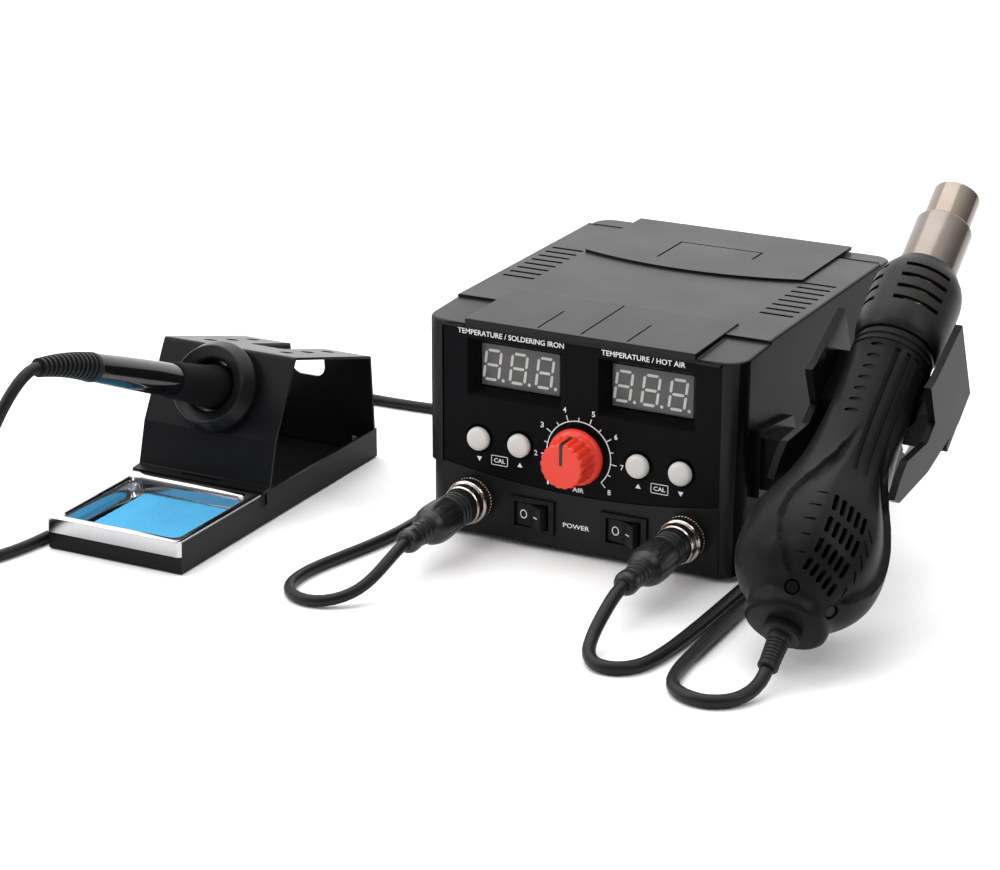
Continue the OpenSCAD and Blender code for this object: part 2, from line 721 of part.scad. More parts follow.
module fan_impeller() {
    color([0.13, 0.14, 0.16]) place() gun_body() union() {
        translate([0, 0, 18.6]) cylinder(r = 22, h = 1.6);
        translate([0, 0, 18.6]) cylinder(r = 6, h = 14);
        for (a = [0:30:330]) {
            rotate([0, 0, a]) translate([9, -3, 20]) rotate([0, 0, 28]) cube([13, 1, 12]);
        }
    }
}

module gun_screws() {
    color([0.5, 0.5, 0.52]) place() gun_body() gun_pockets() cylinder(r = 2.4, h = 1.2);
}

module gun_boot() {
    color([0.04, 0.04, 0.045]) place() gun_body()
        lathe([[0, 4.6], [7.6, 4.6], [7.6, 3.2], [4.8, 3.2], [4.8, -0.2], [7.7, -0.2], [7.7, -4.6],
            [6.9, -5], [4.5, -5], [4.1, -18], [3.8, -19.6], [0, -19.6]], 40);
}

// ---- stand -------------------------------------------------------------------

sx0 = stand_x - stand_w / 2;
sx1 = stand_x + stand_w / 2;

module stand_base() {
    color([0.05, 0.05, 0.055]) place() difference() {
        union() {
            box(sx0, sx1, stand_y, stand_y2, 0.6, 0.6 + sheet);
            box(sx0, sx0 + sheet, stand_y, stand_y2, 0.6, stand_wall_h);
            box(sx1 - sheet, sx1, stand_y, stand_y2, 0.6, stand_wall_h);
            box(sx0, sx1, stand_y, stand_y + sheet, 0.6, stand_wall_h);
            box(sx0, sx1, stand_y2 - sheet, stand_y2, 0.6, stand_wall_h);
        }
        box(sx1 - 2 * sheet, sx1 + 1, -33, -27, 9, stand_wall_h + 1);
        box(sx0 - 1, sx0 + 2 * sheet, -33, -27, 9, stand_wall_h + 1);
        for (x = [-24, 24]) {
            translate([stand_x + x, stand_y2 + 1, 8]) forward() cylinder(r = 1.7, h = 4);
        }
        for (x = [-26, 26], y = [stand_y + 8, stand_y2 - 10]) {
            translate([stand_x + x, y, -1]) cylinder(r = 2, h = 5);
        }
    }
}

// One folded sheet, seen from the side: flange, slanted face, top and back.
module stand_cover() {
    color([0.05, 0.05, 0.055]) place() difference() {
        union() {
            side_profile([[-30.6, 15.9], [-24.4, 15.9], [-22.2, 36], [-2.2, cover_h],
                [69.2, 54.2], [69.8, 53.4], [69.8, 4], [68.6, 4], [68.6, 53],
                [-2.9 + 1.6, cover_h - 1.5], [-21, 36], [-23.3, 14.7], [-30.6, 14.7]], sx0 - 0.3, sx1 + 0.3);
            for (x = [sx0 + sheet + 0.1, sx1 - 2 * sheet - 0.1]) {
                box(x, x + sheet, -30.4, -23.4, 4, 15.4);
            }
        }
        // hole for the holder ring
        translate([stand_x, ring_y, ring_z]) rotate([ring_tilt, 0, 0])
            translate([0, 0, -8]) cylinder(r = 13.6, h = 16);
        // opening across the rear fold
        box(stand_x - 9, stand_x + 9.6, 30, 80, 37, 70);
        // stowage holes for spare tips
        for (x = [-21, 19.5], k = [0:3]) {
            translate([stand_x + x, 15 + 18 * k, 40]) {
                cylinder(r = 2.6, h = 50);
                translate([0, 2.6, 0]) cylinder(r = 2.6, h = 50);
                translate([-2.6, 0, 0]) cube([5.2, 2.6, 50]);
            }
        }
        // the rear fold runs down between the walls of the base
        for (x = [sx0 - 1, sx1 - sheet - 0.1]) {
            box(x, x + sheet + 1.1, 60, 75, 0, stand_wall_h + 0.1);
        }
        // slot for the tray's tab
        box(stand_x - 10.4, stand_x + 10.4, -27.8, -26, 14, 17);
        for (x = [-24, 24]) {
            translate([stand_x + x, stand_y2 + 1, 8]) forward() cylinder(r = 1.7, h = 6);
        }
    }
}

module holder_ring() {
    color([0.06, 0.06, 0.065]) place() translate([stand_x, ring_y, ring_z]) rotate([ring_tilt, 0, 0])
        lathe([[11.6, -6], [13.2, -6], [13.2, 0.2], [20.6, 0.2], [21, 1], [21, 5], [20, 6.4], [17.6, 6.8],
            [17, 5.6], [15.6, 5.6], [15, 6.6], [12.6, 6.6], [11.6, 5.4]], 72);
}

module stand_rivets() {
    color([0.2, 0.2, 0.21]) place() for (x = [-24, 24]) {
        translate([stand_x + x, stand_y2 + 1.4, 8]) forward() cylinder(r = 1.6, h = 4.4);
        translate([stand_x + x, stand_y2 + 1.2, 8]) forward() cylinder(r = 3, h = 1.2);
    }
}

module stand_feet() {
    color([0.08, 0.08, 0.08]) place() for (x = [-26, 26], y = [stand_y + 8, stand_y2 - 10]) {
        translate([stand_x + x, y, 0]) cylinder(r = 5, h = 0.6);
        translate([stand_x + x, y, 0]) cylinder(r = 1.9, h = 2.6);
    }
}

// Pressed stainless tray hooked over the front wall of the base, with a tongue
// held down by the flange of the cover.
module sponge_tray() {
    color([0.82, 0.82, 0.83]) place() difference() {
        union() {
            box(sx0 - 0.4, sx1 + 0.4, stand_y - 1.2, -31.2, 14.7, 15.4);
            box(sx0 + 4, sx1 - 4, -32, -31.2, 14, 15.4);
            box(sx0 + 4, sx1 - 4, -32, -26.6, 14, 14.6);
            box(sx0 - 0.4, sx1 + 0.4, stand_y - 1.2, stand_y - 0.5, 8.2, 15.4);
            hull() {
                box(sx0 + 4, sx1 - 4, stand_y + 4, -31, 14.9, 15);
                box(sx0 + 9, sx1 - 9, stand_y + 9, -36, 3.2, 3.3);
            }
        }
        hull() {
            box(sx0 + 4.8, sx1 - 4.8, stand_y + 4.8, -31.8, 15.4, 15.5);
            box(sx0 + 9.8, sx1 - 9.8, stand_y + 9.8, -36.8, 4, 4.1);
        }
    }
}

module sponge() {
    color([0.3, 0.68, 0.9]) place()
        round_block(sx0 + 10.6, sx1 - 10.6, stand_y + 10.6, -37.6, 4.2, 8.4, 1.5);
}

// ---- iron --------------------------------------------------------------------

module iron_tube() {
    color([0.03, 0.03, 0.035]) place() iron_pose() difference() {
        lathe([[0, -4], [5.8, -4], [iron_r, 20], [iron_r, 40], [7, 70], [6.1, 93], [6.1, 94.1],
            [0, 94.1]], 56);
        translate([0, 0, -6]) cylinder(r = 3.4, h = 80);
        translate([0, 0, 88]) cylinder(r = 4.6, h = 12);
    }
}

module iron_grip() {
    color([0.04, 0.04, 0.045]) place() iron_pose() difference() {
        lathe([[0, -12], [8.6, -12], [10, -9], [10, -4], [9.2, 4], [8.6, 14], [8.3, 30], [7.9, 33.4],
            [0, 33.4]], 56);
        lathe([[0, -13], [6.6, -13], [6.6, -4], [5.9, -3.9], [iron_r + 0.05, 20],
            [iron_r + 0.05, 34], [0, 34]], 56);
    }
}

module iron_nut() {
    color([0.7, 0.7, 0.68]) place() iron_pose() difference() {
        lathe([[0, -20], [4.2, -20], [5.6, -18], [5.6, -12], [6.4, -11.6], [6.4, -4.1], [0, -4.1]], 48);
        translate([0, 0, -22]) cylinder(r = 3.35, h = 20);
    }
}

module iron_barrel() {
    color([0.75, 0.74, 0.72]) place() iron_pose() difference() {
        translate([0, 0, -52]) cylinder(r = 3.25, h = 72);
        translate([0, 0, -54]) cylinder(r = 2.7, h = 60);
    }
}

module iron_tip() {
    color([0.6, 0.58, 0.55]) place() iron_pose() lathe([[0, -71], [0.4, -71], [1.4, -64], [2.6, -58],
        [3.1, -55], [3.1, -52.2], [2.6, -52], [2.6, -30], [0, -30]], 40);
}

// Ribbed boot, each link turned a little further down than the one before.
module boot_link(i, r) {
    lathe([[0, -0.2], [r - 0.6, -0.2], [r - 0.6, 1], [r, 1.5], [r - 0.1, 4.1], [r - 0.7, 4.6], [0, 4.6]], 32);
    if (i > 0) {
        translate([0, 0, 4.4]) rotate([1.4, 0, 0]) boot_link(i - 1, r - 0.28);
    }
}

module iron_boot() {
    color([0.04, 0.04, 0.045]) place() iron_pose() {
        lathe([[0, 92], [4.5, 92], [4.5, 94.2], [6.2, 94.2], [6.4, 95.4], [6.3, 98.2], [0, 98.2]], 40);
        translate([0, 0, 98]) rotate([0.7, 0, 0]) boot_link(7, 6.1);
    }
}

// ---- leads -------------------------------------------------------------------

module lead_colour() {
    color([0.04, 0.04, 0.045]) place() children();
}

module iron_lead_drop() {
    lead_colour() swept(iron_route_drop, iron_lead_r);
}

module iron_lead_out() {
    lead_colour() swept(iron_route_out, iron_lead_r);
}

module iron_lead_in() {
    lead_colour() swept(iron_route_in, iron_lead_r);
}

// Closed solid of a round coil lying on the bench, two turns wide and two high.
module coil(at, r, lead_r) {
    translate(at) rotate_extrude($fn = 64)
        translate([r - 2.4 * lead_r, 0.1]) square([4.8 * lead_r, 4 * lead_r]);
}

module iron_lead_coil() {
    lead_colour() coil(iron_coil_at, iron_coil_r, iron_lead_r);
}

module gun_lead_drop() {
    lead_colour() swept(gun_route_drop, gun_lead_r);
}

module gun_lead_out() {
    lead_colour() swept(gun_route_out, gun_lead_r);
}

module gun_lead_in() {
    lead_colour() swept(gun_route_in, gun_lead_r);
}

module gun_lead_coil() {
    lead_colour() coil(gun_coil_at, gun_coil_r, gun_lead_r);
}

// ---- output -------------------------------------------------------------------

base_shell();
top_cover();
front_panel();
display_left();
display_right();
display_board();
knob_pot();
knob_shaft();
air_knob();
knob_pointer();
button_1();
button_2();
button_3();
button_4();
button_switches();
switch_bezels();
rocker_left();
rocker_right();
panel_sockets();
plug_ring_left();
plug_ring_right();
plug_left();
plug_right();
case_feet();
case_screws();
mains_inlet();
main_board();
transformer();
cradle();
gun_front_shell();
gun_rear_shell();
heat_shroud();
gun_barrel();
nozzle();
heater_core();
fan_motor();
fan_impeller();
gun_screws();
gun_boot();
stand_base();
stand_cover();
holder_ring();
stand_rivets();
stand_feet();
sponge_tray();
sponge();
iron_tube();
iron_grip();
iron_nut();
iron_barrel();
iron_tip();
iron_boot();
iron_lead_drop();
iron_lead_out();
iron_lead_in();
iron_lead_coil();
gun_lead_drop();
gun_lead_out();
gun_lead_in();
gun_lead_coil();
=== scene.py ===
"""Soldering station: the looks of every visible surface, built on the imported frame."""
import json
import math

import bmesh
import bpy
from mathutils import Matrix, Vector, noise

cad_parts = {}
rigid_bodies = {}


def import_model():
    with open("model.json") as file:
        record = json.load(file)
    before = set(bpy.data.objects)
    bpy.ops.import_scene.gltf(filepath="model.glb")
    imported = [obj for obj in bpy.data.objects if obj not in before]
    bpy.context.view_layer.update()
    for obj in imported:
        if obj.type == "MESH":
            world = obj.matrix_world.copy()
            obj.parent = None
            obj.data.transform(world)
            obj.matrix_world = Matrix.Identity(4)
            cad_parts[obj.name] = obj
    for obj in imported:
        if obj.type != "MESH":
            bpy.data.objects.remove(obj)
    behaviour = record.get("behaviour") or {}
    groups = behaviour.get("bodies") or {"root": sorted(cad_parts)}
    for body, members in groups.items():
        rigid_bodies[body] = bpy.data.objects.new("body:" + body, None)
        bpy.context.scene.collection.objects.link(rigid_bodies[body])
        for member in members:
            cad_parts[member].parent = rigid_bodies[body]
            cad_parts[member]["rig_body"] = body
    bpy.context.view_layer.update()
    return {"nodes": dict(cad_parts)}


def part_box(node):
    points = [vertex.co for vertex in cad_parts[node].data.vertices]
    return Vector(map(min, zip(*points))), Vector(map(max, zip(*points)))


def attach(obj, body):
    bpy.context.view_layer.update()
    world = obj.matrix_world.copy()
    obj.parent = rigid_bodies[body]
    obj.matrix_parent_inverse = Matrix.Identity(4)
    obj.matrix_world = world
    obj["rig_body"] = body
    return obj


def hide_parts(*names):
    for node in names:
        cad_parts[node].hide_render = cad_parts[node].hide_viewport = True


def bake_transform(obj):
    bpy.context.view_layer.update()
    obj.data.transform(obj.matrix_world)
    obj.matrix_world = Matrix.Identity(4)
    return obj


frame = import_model()
scene = bpy.context.scene

MM = 0.001

# ---- places
# The station's own origin: middle of the case's front edge, on the bench.
case_low, case_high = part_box("top_cover")
HOME = Vector(((case_low.x + case_high.x) / 2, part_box("front_panel")[0].y - 0.6 * MM, 0))

# The gun leans back in its cradle and is turned about its own axis.
GUN_TAIL = HOME + Vector((126, -74.6, 20.5)) * MM
GUN_TILT = math.radians(54.5)
GUN_ROLL = math.radians(45)
gun_space = (Matrix.Translation(GUN_TAIL) @ Matrix.Rotation(-GUN_TILT, 4, "X")
             @ Matrix.Rotation(GUN_ROLL, 4, "Z"))

# The iron's handle rises forward out of the holder ring.
IRON_TILT = math.radians(21.4)
iron_space = (Matrix.Translation(HOME + Vector((-174, -18, 56.3)) * MM)
              @ Matrix.Rotation(math.pi / 2 - IRON_TILT, 4, "X"))


def at(x, y, z):
    """A point in the station's millimetres, as a place in the frame."""
    return HOME + Vector((x, y, z)) * MM


def moved(x, y, z):
    return Matrix.Translation(Vector((x, y, z)) * MM)


def turned(degrees, axis="Z"):
    return Matrix.Rotation(math.radians(degrees), 4, axis)


def eased(t):
    return t * t * (3 - 2 * t)


# ---- mesh helpers

def linked(name, data):
    """A new object in the scene."""
    thing = bpy.data.objects.new(name, data)
    scene.collection.objects.link(thing)
    return thing


def stands_for(piece, slot, *nodes):
    """Hides the CAD nodes that the piece replaces; slot is not used."""
    if nodes:
        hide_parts(*nodes)
    return piece


def new_piece(name, verts, faces, body=None, material=None, space=None):
    """A mesh object riding on a body, if one is given; verts are in metres, in space if one is given."""
    mesh = bpy.data.meshes.new(name)
    mesh.from_pydata([tuple(v) for v in verts], [], faces)
    mesh.update()
    if space is not None:
        mesh.transform(space)
    piece = linked(name, mesh)
    tidy(mesh)
    if material:
        mesh.materials.append(material)
    if body:
        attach(piece, body)
    return piece


def tidy(mesh, smooth=True, sharp=35):
    """Outward normals, smooth shading, and hard lines where faces meet sharply."""
    work = bmesh.new()
    work.from_mesh(mesh)
    bmesh.ops.recalc_face_normals(work, faces=work.faces)
    limit = math.radians(sharp)
    for edge in work.edges:
        edge.smooth = len(edge.link_faces) == 2 and edge.calc_face_angle(0) < limit
    for face in work.faces:
        face.smooth = smooth
    work.to_mesh(mesh)
    work.free()


def lathe(name, profile, body, material, space, sides=96, ripple=None, closed=False):
    """Revolves (radius, height) millimetre pairs about +Z of space; closed joins the last pair
    to the first, for a shell with a bore. ripple(angle, radius, height) may change the radius."""
    verts = []
    faces = []
    rows = len(profile)
    for k in range(sides):
        angle = math.tau * k / sides
        for radius, height in profile:
            r = ripple(angle, radius, height) if ripple else radius
            verts.append(Vector((r * math.cos(angle), r * math.sin(angle), height)) * MM)
    for k in range(sides):
        here, there = k * rows, (k + 1) % sides * rows
        for i in range(rows - 1):
            faces.append((here + i, there + i, there + i + 1, here + i + 1))
        if closed:
            faces.append((here + rows - 1, there + rows - 1, there, here))
    if profile[0][0] > 0 and not closed:
        faces.append(tuple(k * rows for k in range(sides)))
    if profile[-1][0] > 0 and not closed:
        faces.append(tuple(k * rows + rows - 1 for k in range(sides)))
    piece = new_piece(name, verts, faces, body, material, space)
    merge_close(piece.data)
    tidy(piece.data)
    return piece


def merge_close(mesh, distance=1e-6):
    work = bmesh.new()
    work.from_mesh(mesh)
    bmesh.ops.remove_doubles(work, verts=work.verts, dist=distance)
    work.to_mesh(mesh)
    work.free()


def rounded(points, radius, steps=4):
    """A (radius, height) outline with its inner corners rounded by short arcs."""
    out = [Vector(points[0])]
    for before, corner, after in zip(points, points[1:], points[2:]):
        before, corner, after = Vector(before), Vector(corner), Vector(after)
        reach = min(radius, (before - corner).length * 0.45, (after - corner).length * 0.45)
        start = corner + (before - corner).normalized() * reach
        end = corner + (after - corner).normalized() * reach
        for k in range(steps + 1):
            t = k / steps
            out.append(start * (1 - t) ** 2 + corner * 2 * t * (1 - t) + end * t * t)
    out.append(Vector(points[-1]))
    return [tuple(p) for p in out]


def edged(piece, width, angle, segments):
    """Rounds the hard edges of a piece."""
    bevel = piece.modifiers.new("round edges", "BEVEL")
    bevel.width = width * MM
    bevel.segments = segments
    bevel.limit_method = "ANGLE"
    bevel.angle_limit = math.radians(angle)
    bevel.harden_normals = True


def evaluated_mesh(piece):
    """A new mesh of the piece with its modifiers applied."""
    bpy.context.view_layer.update()
    return bpy.data.meshes.new_from_object(piece.evaluated_get(bpy.context.evaluated_depsgraph_get()))


PLAIN_FACE = 2e-4  # square metres: a flat face larger than this is shaded flat


def softened(node, width=0.35, segments=2, angle=32, material=None, wide=0.0, pick=None, shaded_flank=None):
    """A copy of a CAD node with small rounded edges, standing in for the node.
    An edge is also rounded by wide times the weight that pick gives it.
    The darker, less shiny side material, which paints shade on the sides, goes on its left and right sides."""
    source = frame["nodes"][node]
    bpy.context.view_layer.update()
    mesh = source.data.copy()
    mesh.transform(source.matrix_world)
    if "custom_normal" in mesh.attributes:
        mesh.attributes.remove(mesh.attributes["custom_normal"])
    work = bmesh.new()
    work.from_mesh(mesh)
    bmesh.ops.remove_doubles(work, verts=work.verts, dist=2e-6)
    bmesh.ops.dissolve_limit(work, angle_limit=math.radians(0.6), verts=work.verts, edges=work.edges)
    for face in work.faces:
        face.smooth = face.calc_area() < PLAIN_FACE
    weight = work.edges.layers.float.new("bevel_weight_edge")
    for edge in work.edges:
        edge.smooth = True
        hard = len(edge.link_faces) == 2 and edge.calc_face_angle(0) > math.radians(angle)
        if pick and hard:
            edge[weight] = pick(edge)
    work.to_mesh(mesh)
    work.free()
    piece = linked(node + "_skin", mesh)
    if pick:
        turn = piece.modifiers.new("wide edges", "BEVEL")
        turn.width = wide * MM
        turn.segments = 4
        turn.limit_method = "WEIGHT"
        turn.use_clamp_overlap = False
    edged(piece, width, angle, segments)
    mesh.materials.clear()
    if material:
        mesh.materials.append(material)
    # painted shade: faces that look left or right take the darker, less shiny side material
    if shaded_flank:
        mesh.materials.append(shaded_flank)
        for face in mesh.polygons:
            if abs(face.normal.x) > 0.7:
                face.material_index = 1
    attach(piece, source["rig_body"])
    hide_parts(node)
    return piece


def dress(node, material):
    """Gives a CAD node that stays visible its finish."""
    mesh = frame["nodes"][node].data
    mesh.materials.clear()
    mesh.materials.append(material)


# ---- material helpers

class Nodes:
    """Short calls for one material's node tree."""

    def __init__(self, name):
        self.material = bpy.data.materials.new(name)
        self.material.use_nodes = True
        self.tree = self.material.node_tree
        self.shader = self.tree.nodes["Principled BSDF"]

    def add(self, kind, **values):
        node = self.tree.nodes.new(kind)
        for key, value in values.items():
            if hasattr(node, key):
                setattr(node, key, value)
            else:
                node.inputs[key.replace("_", " ").title()].default_value = value
        return node

    def place(self):
        return self.add("ShaderNodeTexCoord").outputs["Object"]

    def noise(self, scale, detail=2.0, roughness=0.5):
        node = self.add("ShaderNodeTexNoise", Scale=scale, Detail=detail, Roughness=roughness)
        self.tree.links.new(self.place(), node.inputs["Vector"])
        return node.outputs["Fac"]

    def spread(self, source, low, high, to_low, to_high):
        node = self.add("ShaderNodeMapRange")
        for key, value in (("From Min", low), ("From Max", high), ("To Min", to_low), ("To Max", to_high)):
            node.inputs[key].default_value = value
        self.tree.links.new(source, node.inputs["Value"])
        return node.outputs["Result"]

    def mix(self, factor, first, second):
        node = self.add("ShaderNodeMix", data_type="RGBA")
        node.inputs["A"].default_value = (*first, 1)
        node.inputs["B"].default_value = (*second, 1)
        self.tree.links.new(factor, node.inputs["Factor"])
        return node.outputs["Result"]

    def bump(self, height, strength, distance):
        node = self.add("ShaderNodeBump", Strength=strength, Distance=distance)
        self.tree.links.new(height, node.inputs["Height"])
        self.feed("Normal", node.outputs["Normal"])

    def feed(self, socket, source):
        self.tree.links.new(source, self.shader.inputs[socket])

    def set(self, **values):
        for key, value in values.items():
            socket = self.shader.inputs[key.replace("_", " ")]
            socket.default_value = (*value, 1) if isinstance(value, tuple) else value


def moulded(name, colour, rough, grain=1600, relief=0.02, patch=0.15, specular=0.5):
    """Moulded plastic or powder coat: fine grain with broad, faint wear."""
    m = Nodes(name)
    fine = m.noise(grain, 3.0, 0.6)
    broad = m.noise(22, 4.0, 0.6)
    lighter = tuple(min(1.0, c * (1 + patch) + 0.003) for c in colour)
    darker = tuple(c * (1 - patch) for c in colour)
    m.feed("Base Color", m.mix(broad, darker, lighter))
    m.feed("Roughness", m.spread(broad, 0.3, 0.7, rough * 0.88, rough * 1.14))
    m.bump(fine, 0.6, relief * MM)
    m.set(Specular_IOR_Level=specular)
    return m.material


def metal(name, colour, rough, grain=900, relief=0.006, tint=None):
    """Bare or plated metal with fine marks."""
    m = Nodes(name)
    fine = m.noise(grain, 3.0, 0.6)
    broad = m.noise(60, 3.0, 0.5)
    m.feed("Base Color", m.mix(broad, colour, tint or tuple(c * 0.93 for c in colour)))
    m.feed("Roughness", m.spread(fine, 0.3, 0.7, rough * 0.8, rough * 1.25))
    m.bump(fine, 0.5, relief * MM)
    m.set(Metallic=1.0)
    return m.material


def printed(name, colour):
    """Screen-printed ink: flat, with faint thin spots."""
    m = Nodes(name)
    thin = m.noise(900, 3.0, 0.6)
    m.feed("Base Color", m.mix(m.spread(thin, 0.45, 0.8, 0, 1), colour, tuple(c * 0.82 for c in colour)))
    m.set(Roughness=0.5)
    m.bump(thin, 0.3, 0.004 * MM)
    return m.material


MAT = {
    "case": moulded("case plastic", (0.0075, 0.0076, 0.0079), 0.34, 1500, 0.012, 0.15, 0.15),
    # painted shade: a darker, less shiny copy of the case plastic for the case's left and right sides
    "shaded_flank": moulded("case side painted shade", (0.0016, 0.0017, 0.0019), 0.3, 1500, 0.012, 0.15, 0.02),
    "panel": moulded("panel plastic", (0.0026, 0.0028, 0.0033), 0.42, 2200, 0.008, 0.15, 0.04),
    "gun": moulded("gun plastic", (0.0058, 0.0061, 0.0063), 0.36, 1800, 0.012, 0.15, 0.07),
    "shroud": moulded("shroud plastic", (0.0080, 0.0074, 0.0069), 0.38, 1200, 0.02, 0.25, 0.16),
    "cradle": moulded("cradle plastic", (0.0034, 0.0034, 0.0037), 0.26, 1500, 0.012, 0.15, 0.04),
    "rubber": moulded("rubber", (0.005, 0.005, 0.0055), 0.45, 1300, 0.02, 0.15, 0.2),
    "lead": moulded("lead rubber", (0.005, 0.005, 0.0055), 0.4, 900, 0.01, 0.15, 0.2),
    "gloss": moulded("gloss plastic", (0.004, 0.004, 0.0045), 0.06, 500, 0.002, 0.05, 0.5),
    "ring": moulded("ring plastic", (0.005, 0.005, 0.0055), 0.32, 1500, 0.01, 0.15, 0.2),
    "foam": moulded("foam grip", (0.005, 0.005, 0.005), 0.8, 2600, 0.09, 0.3, 0.08),
    "switch": moulded("switch plastic", (0.004, 0.004, 0.0045), 0.3, 1800, 0.006, 0.15, 0.14),
    "red": moulded("knob plastic", (0.76, 0.040, 0.018), 0.36, 1600, 0.008, 0.03, 0.4),
    "cap": moulded("button plastic", (0.60, 0.585, 0.56), 0.4, 1500, 0.006, 0.03),
    "coat": moulded("powder coat", (0.0048, 0.0051, 0.0055), 0.3, 800, 0.03, 0.12, 0.1),
    "ink": printed("white ink", (0.85, 0.85, 0.84)),
    "board": moulded("circuit board", (0.03, 0.16, 0.07), 0.4, 400, 0.01),
    "paint": moulded("motor paint", (0.18, 0.18, 0.19), 0.4, 900, 0.01),
    "core": moulded("core laminations", (0.16, 0.13, 0.11), 0.5, 700, 0.03),
    "ceramic": moulded("ceramic", (0.7, 0.66, 0.56), 0.7, 900, 0.03),
    "lens": moulded("display window", (0.085, 0.085, 0.088), 0.12, 700, 0.001, 0.06, 0.3),
    "segment": moulded("display segments", (0.56, 0.54, 0.50), 0.35, 900, 0.002, 0.04),
    "mark": moulded("pointer line", (0.006, 0.006, 0.006), 0.5, 900, 0.004, 0.05),
    "plug": moulded("plug rubber", (0.006, 0.006, 0.0065), 0.36, 1300, 0.012, 0.1, 0.35),
    "sponge": moulded("sponge", (0.062, 0.345, 0.60), 0.85, 700, 0.35, 0.25, 0.2),
    "nickel": metal("nickel", (0.56, 0.50, 0.46), 0.2, tint=(0.42, 0.36, 0.32)),
    "zinc": metal("zinc", (0.55, 0.55, 0.57), 0.35),
    "steel": metal("barrel steel", (0.215, 0.19, 0.172), 0.2, 700, 0.004, (0.15, 0.127, 0.11)),
    "tinted": metal("nozzle steel", (0.25, 0.22, 0.195), 0.13, 300, 0.002, (0.165, 0.128, 0.1)),
    "tray": metal("polished steel", (0.56, 0.56, 0.57), 0.12, 240, 0.004, (0.44, 0.44, 0.46)),
}

# ---- camera, light and floor

def make_camera():
    data = bpy.data.cameras.new("camera")
    data.lens = 107.66
    data.sensor_width = 36
    camera = linked("camera", data)
    camera.location = at(523.70, -1078.04, 480.79)
    camera.rotation_euler = (math.radians(70.48), 0, math.radians(27.5))
    scene.camera = camera


def soft_light(name, place, aim, size, power, tint=(1, 1, 1)):
    data = bpy.data.lights.new(name, "AREA")
    data.shape = "RECTANGLE"
    data.size, data.size_y = size
    data.energy = power
    data.color = tint
    light = linked(name, data)
    light.location = place
    light.rotation_euler = (Vector(aim) - Vector(place)).to_track_quat("-Z", "Y").to_euler()


def make_floor():
    mesh = bpy.data.meshes.new("floor")
    size = 12
    corners = [(-size, -size, 0), (size, -size, 0), (size, size, 0), (-size, size, 0)]
    mesh.from_pydata(corners, [], [(0, 1, 2, 3)])
    floor = linked("floor", mesh)
    m = Nodes("floor")
    m.feed("Base Color", m.mix(m.noise(3, 3), (0.9, 0.9, 0.9), (0.93, 0.93, 0.93)))
    m.set(Roughness=0.75)
    mesh.materials.append(m.material)


def make_world():
    """A soft room: bright above, behind and to the left of the object, dim elsewhere."""
    world = bpy.data.worlds.new("studio")
    world.use_nodes = True
    tree = world.node_tree
    toward = tree.nodes.new("ShaderNodeTexCoord")
    lean = tree.nodes.new("ShaderNodeVectorMath")
    lean.operation = "DOT_PRODUCT"
    lean.inputs[1].default_value = (-0.42, 0.42, 0.80)
    level = tree.nodes.new("ShaderNodeMapRange")
    level.interpolation_type = "SMOOTHSTEP"
    for key, value in (("From Min", -0.2), ("From Max", 0.95), ("To Min", 0.15), ("To Max", 1.9)):
        level.inputs[key].default_value = value
    tree.links.new(toward.outputs["Generated"], lean.inputs[0])
    tree.links.new(lean.outputs["Value"], level.inputs["Value"])
    tree.links.new(level.outputs["Result"], tree.nodes["Background"].inputs["Strength"])
    tree.nodes["Background"].inputs["Color"].default_value = (1, 1, 1, 1)
    scene.world = world
    scene.view_settings.view_transform = "Standard"


make_camera()
make_floor()
make_world()
soft_light("overhead", (-0.6, 0.3, 2.3), (0, 0, 0), (2.4, 2.4), 32)
soft_light("left", (-1.3, -0.9, 1.0), (0, 0, 0.05), (0.35, 0.9), 7)
soft_light("right strip", (1.1, -0.2, 0.9), (0.15, 0, 0.1), (0.15, 0.9), 4)

# ---- leads
# Points listed in the station's millimetres, the same as in the part's source.

IRON_DROP = [(-174, -143.3, 101.7), (-174, -149, 102), (-175, -156, 98.5), (-177, -163, 91),
             (-180, -169, 80), (-184, -175, 66), (-189, -180, 50), (-195, -184, 34), (-203, -186, 20),
             (-213, -184, 9), (-222, -178, 4), (-228, -168, 2.6)]
IRON_OUT = [(-228, -168, 2.6), (-230, -160, 2.6), (-229, -146, 2.6), (-223, -130, 2.6),
            (-216, -112, 2.6), (-213, -90, 2.6), (-213, -50, 2.6), (-213, 0, 2.6), (-213, 45, 2.6),
            (-216, 64, 2.6), (-223, 82, 2.6), (-228, 96, 2.6), (-229, 108, 2.6)]
IRON_IN = [(-50.5, -61.6, 18.8), (-50.5, -68, 18), (-51.5, -75, 15), (-54, -83, 10),
           (-58, -90, 6), (-65, -97, 3.4), (-75, -101, 2.6), (-86, -97, 2.6), (-92, -87, 2.6),
           (-92, -70, 2.6), (-87, -50, 2.6), (-82, -30, 2.6), (-79, -8, 2.6), (-79, 20, 2.6),
           (-79, 60, 2.6), (-80, 100, 2.6), (-87, 122, 2.6), (-104, 135, 2.6), (-130, 139, 2.6),
           (-170, 136, 2.6), (-201, 136, 2.6)]
GUN_DROP = [(126, -90.5, 9.1), (126, -96, 6), (124.5, -104, 3.8), (120, -112, 2.9),
            (111, -117, 2.9), (101, -115, 2.9), (94, -109, 2.9)]
GUN_OUT = [(94, -109, 2.9), (90.5, -98, 2.9), (89, -80, 2.9), (88, -40, 2.9),
           (87, 10, 2.9), (87, 60, 2.9), (87, 110, 2.9), (87, 150, 2.9), (86.5, 176, 2.9),
           (82, 200, 2.9), (72, 222, 2.9), (58, 240, 2.9), (40, 252, 2.9), (24, 256, 2.9),
           (12, 256, 2.9)]
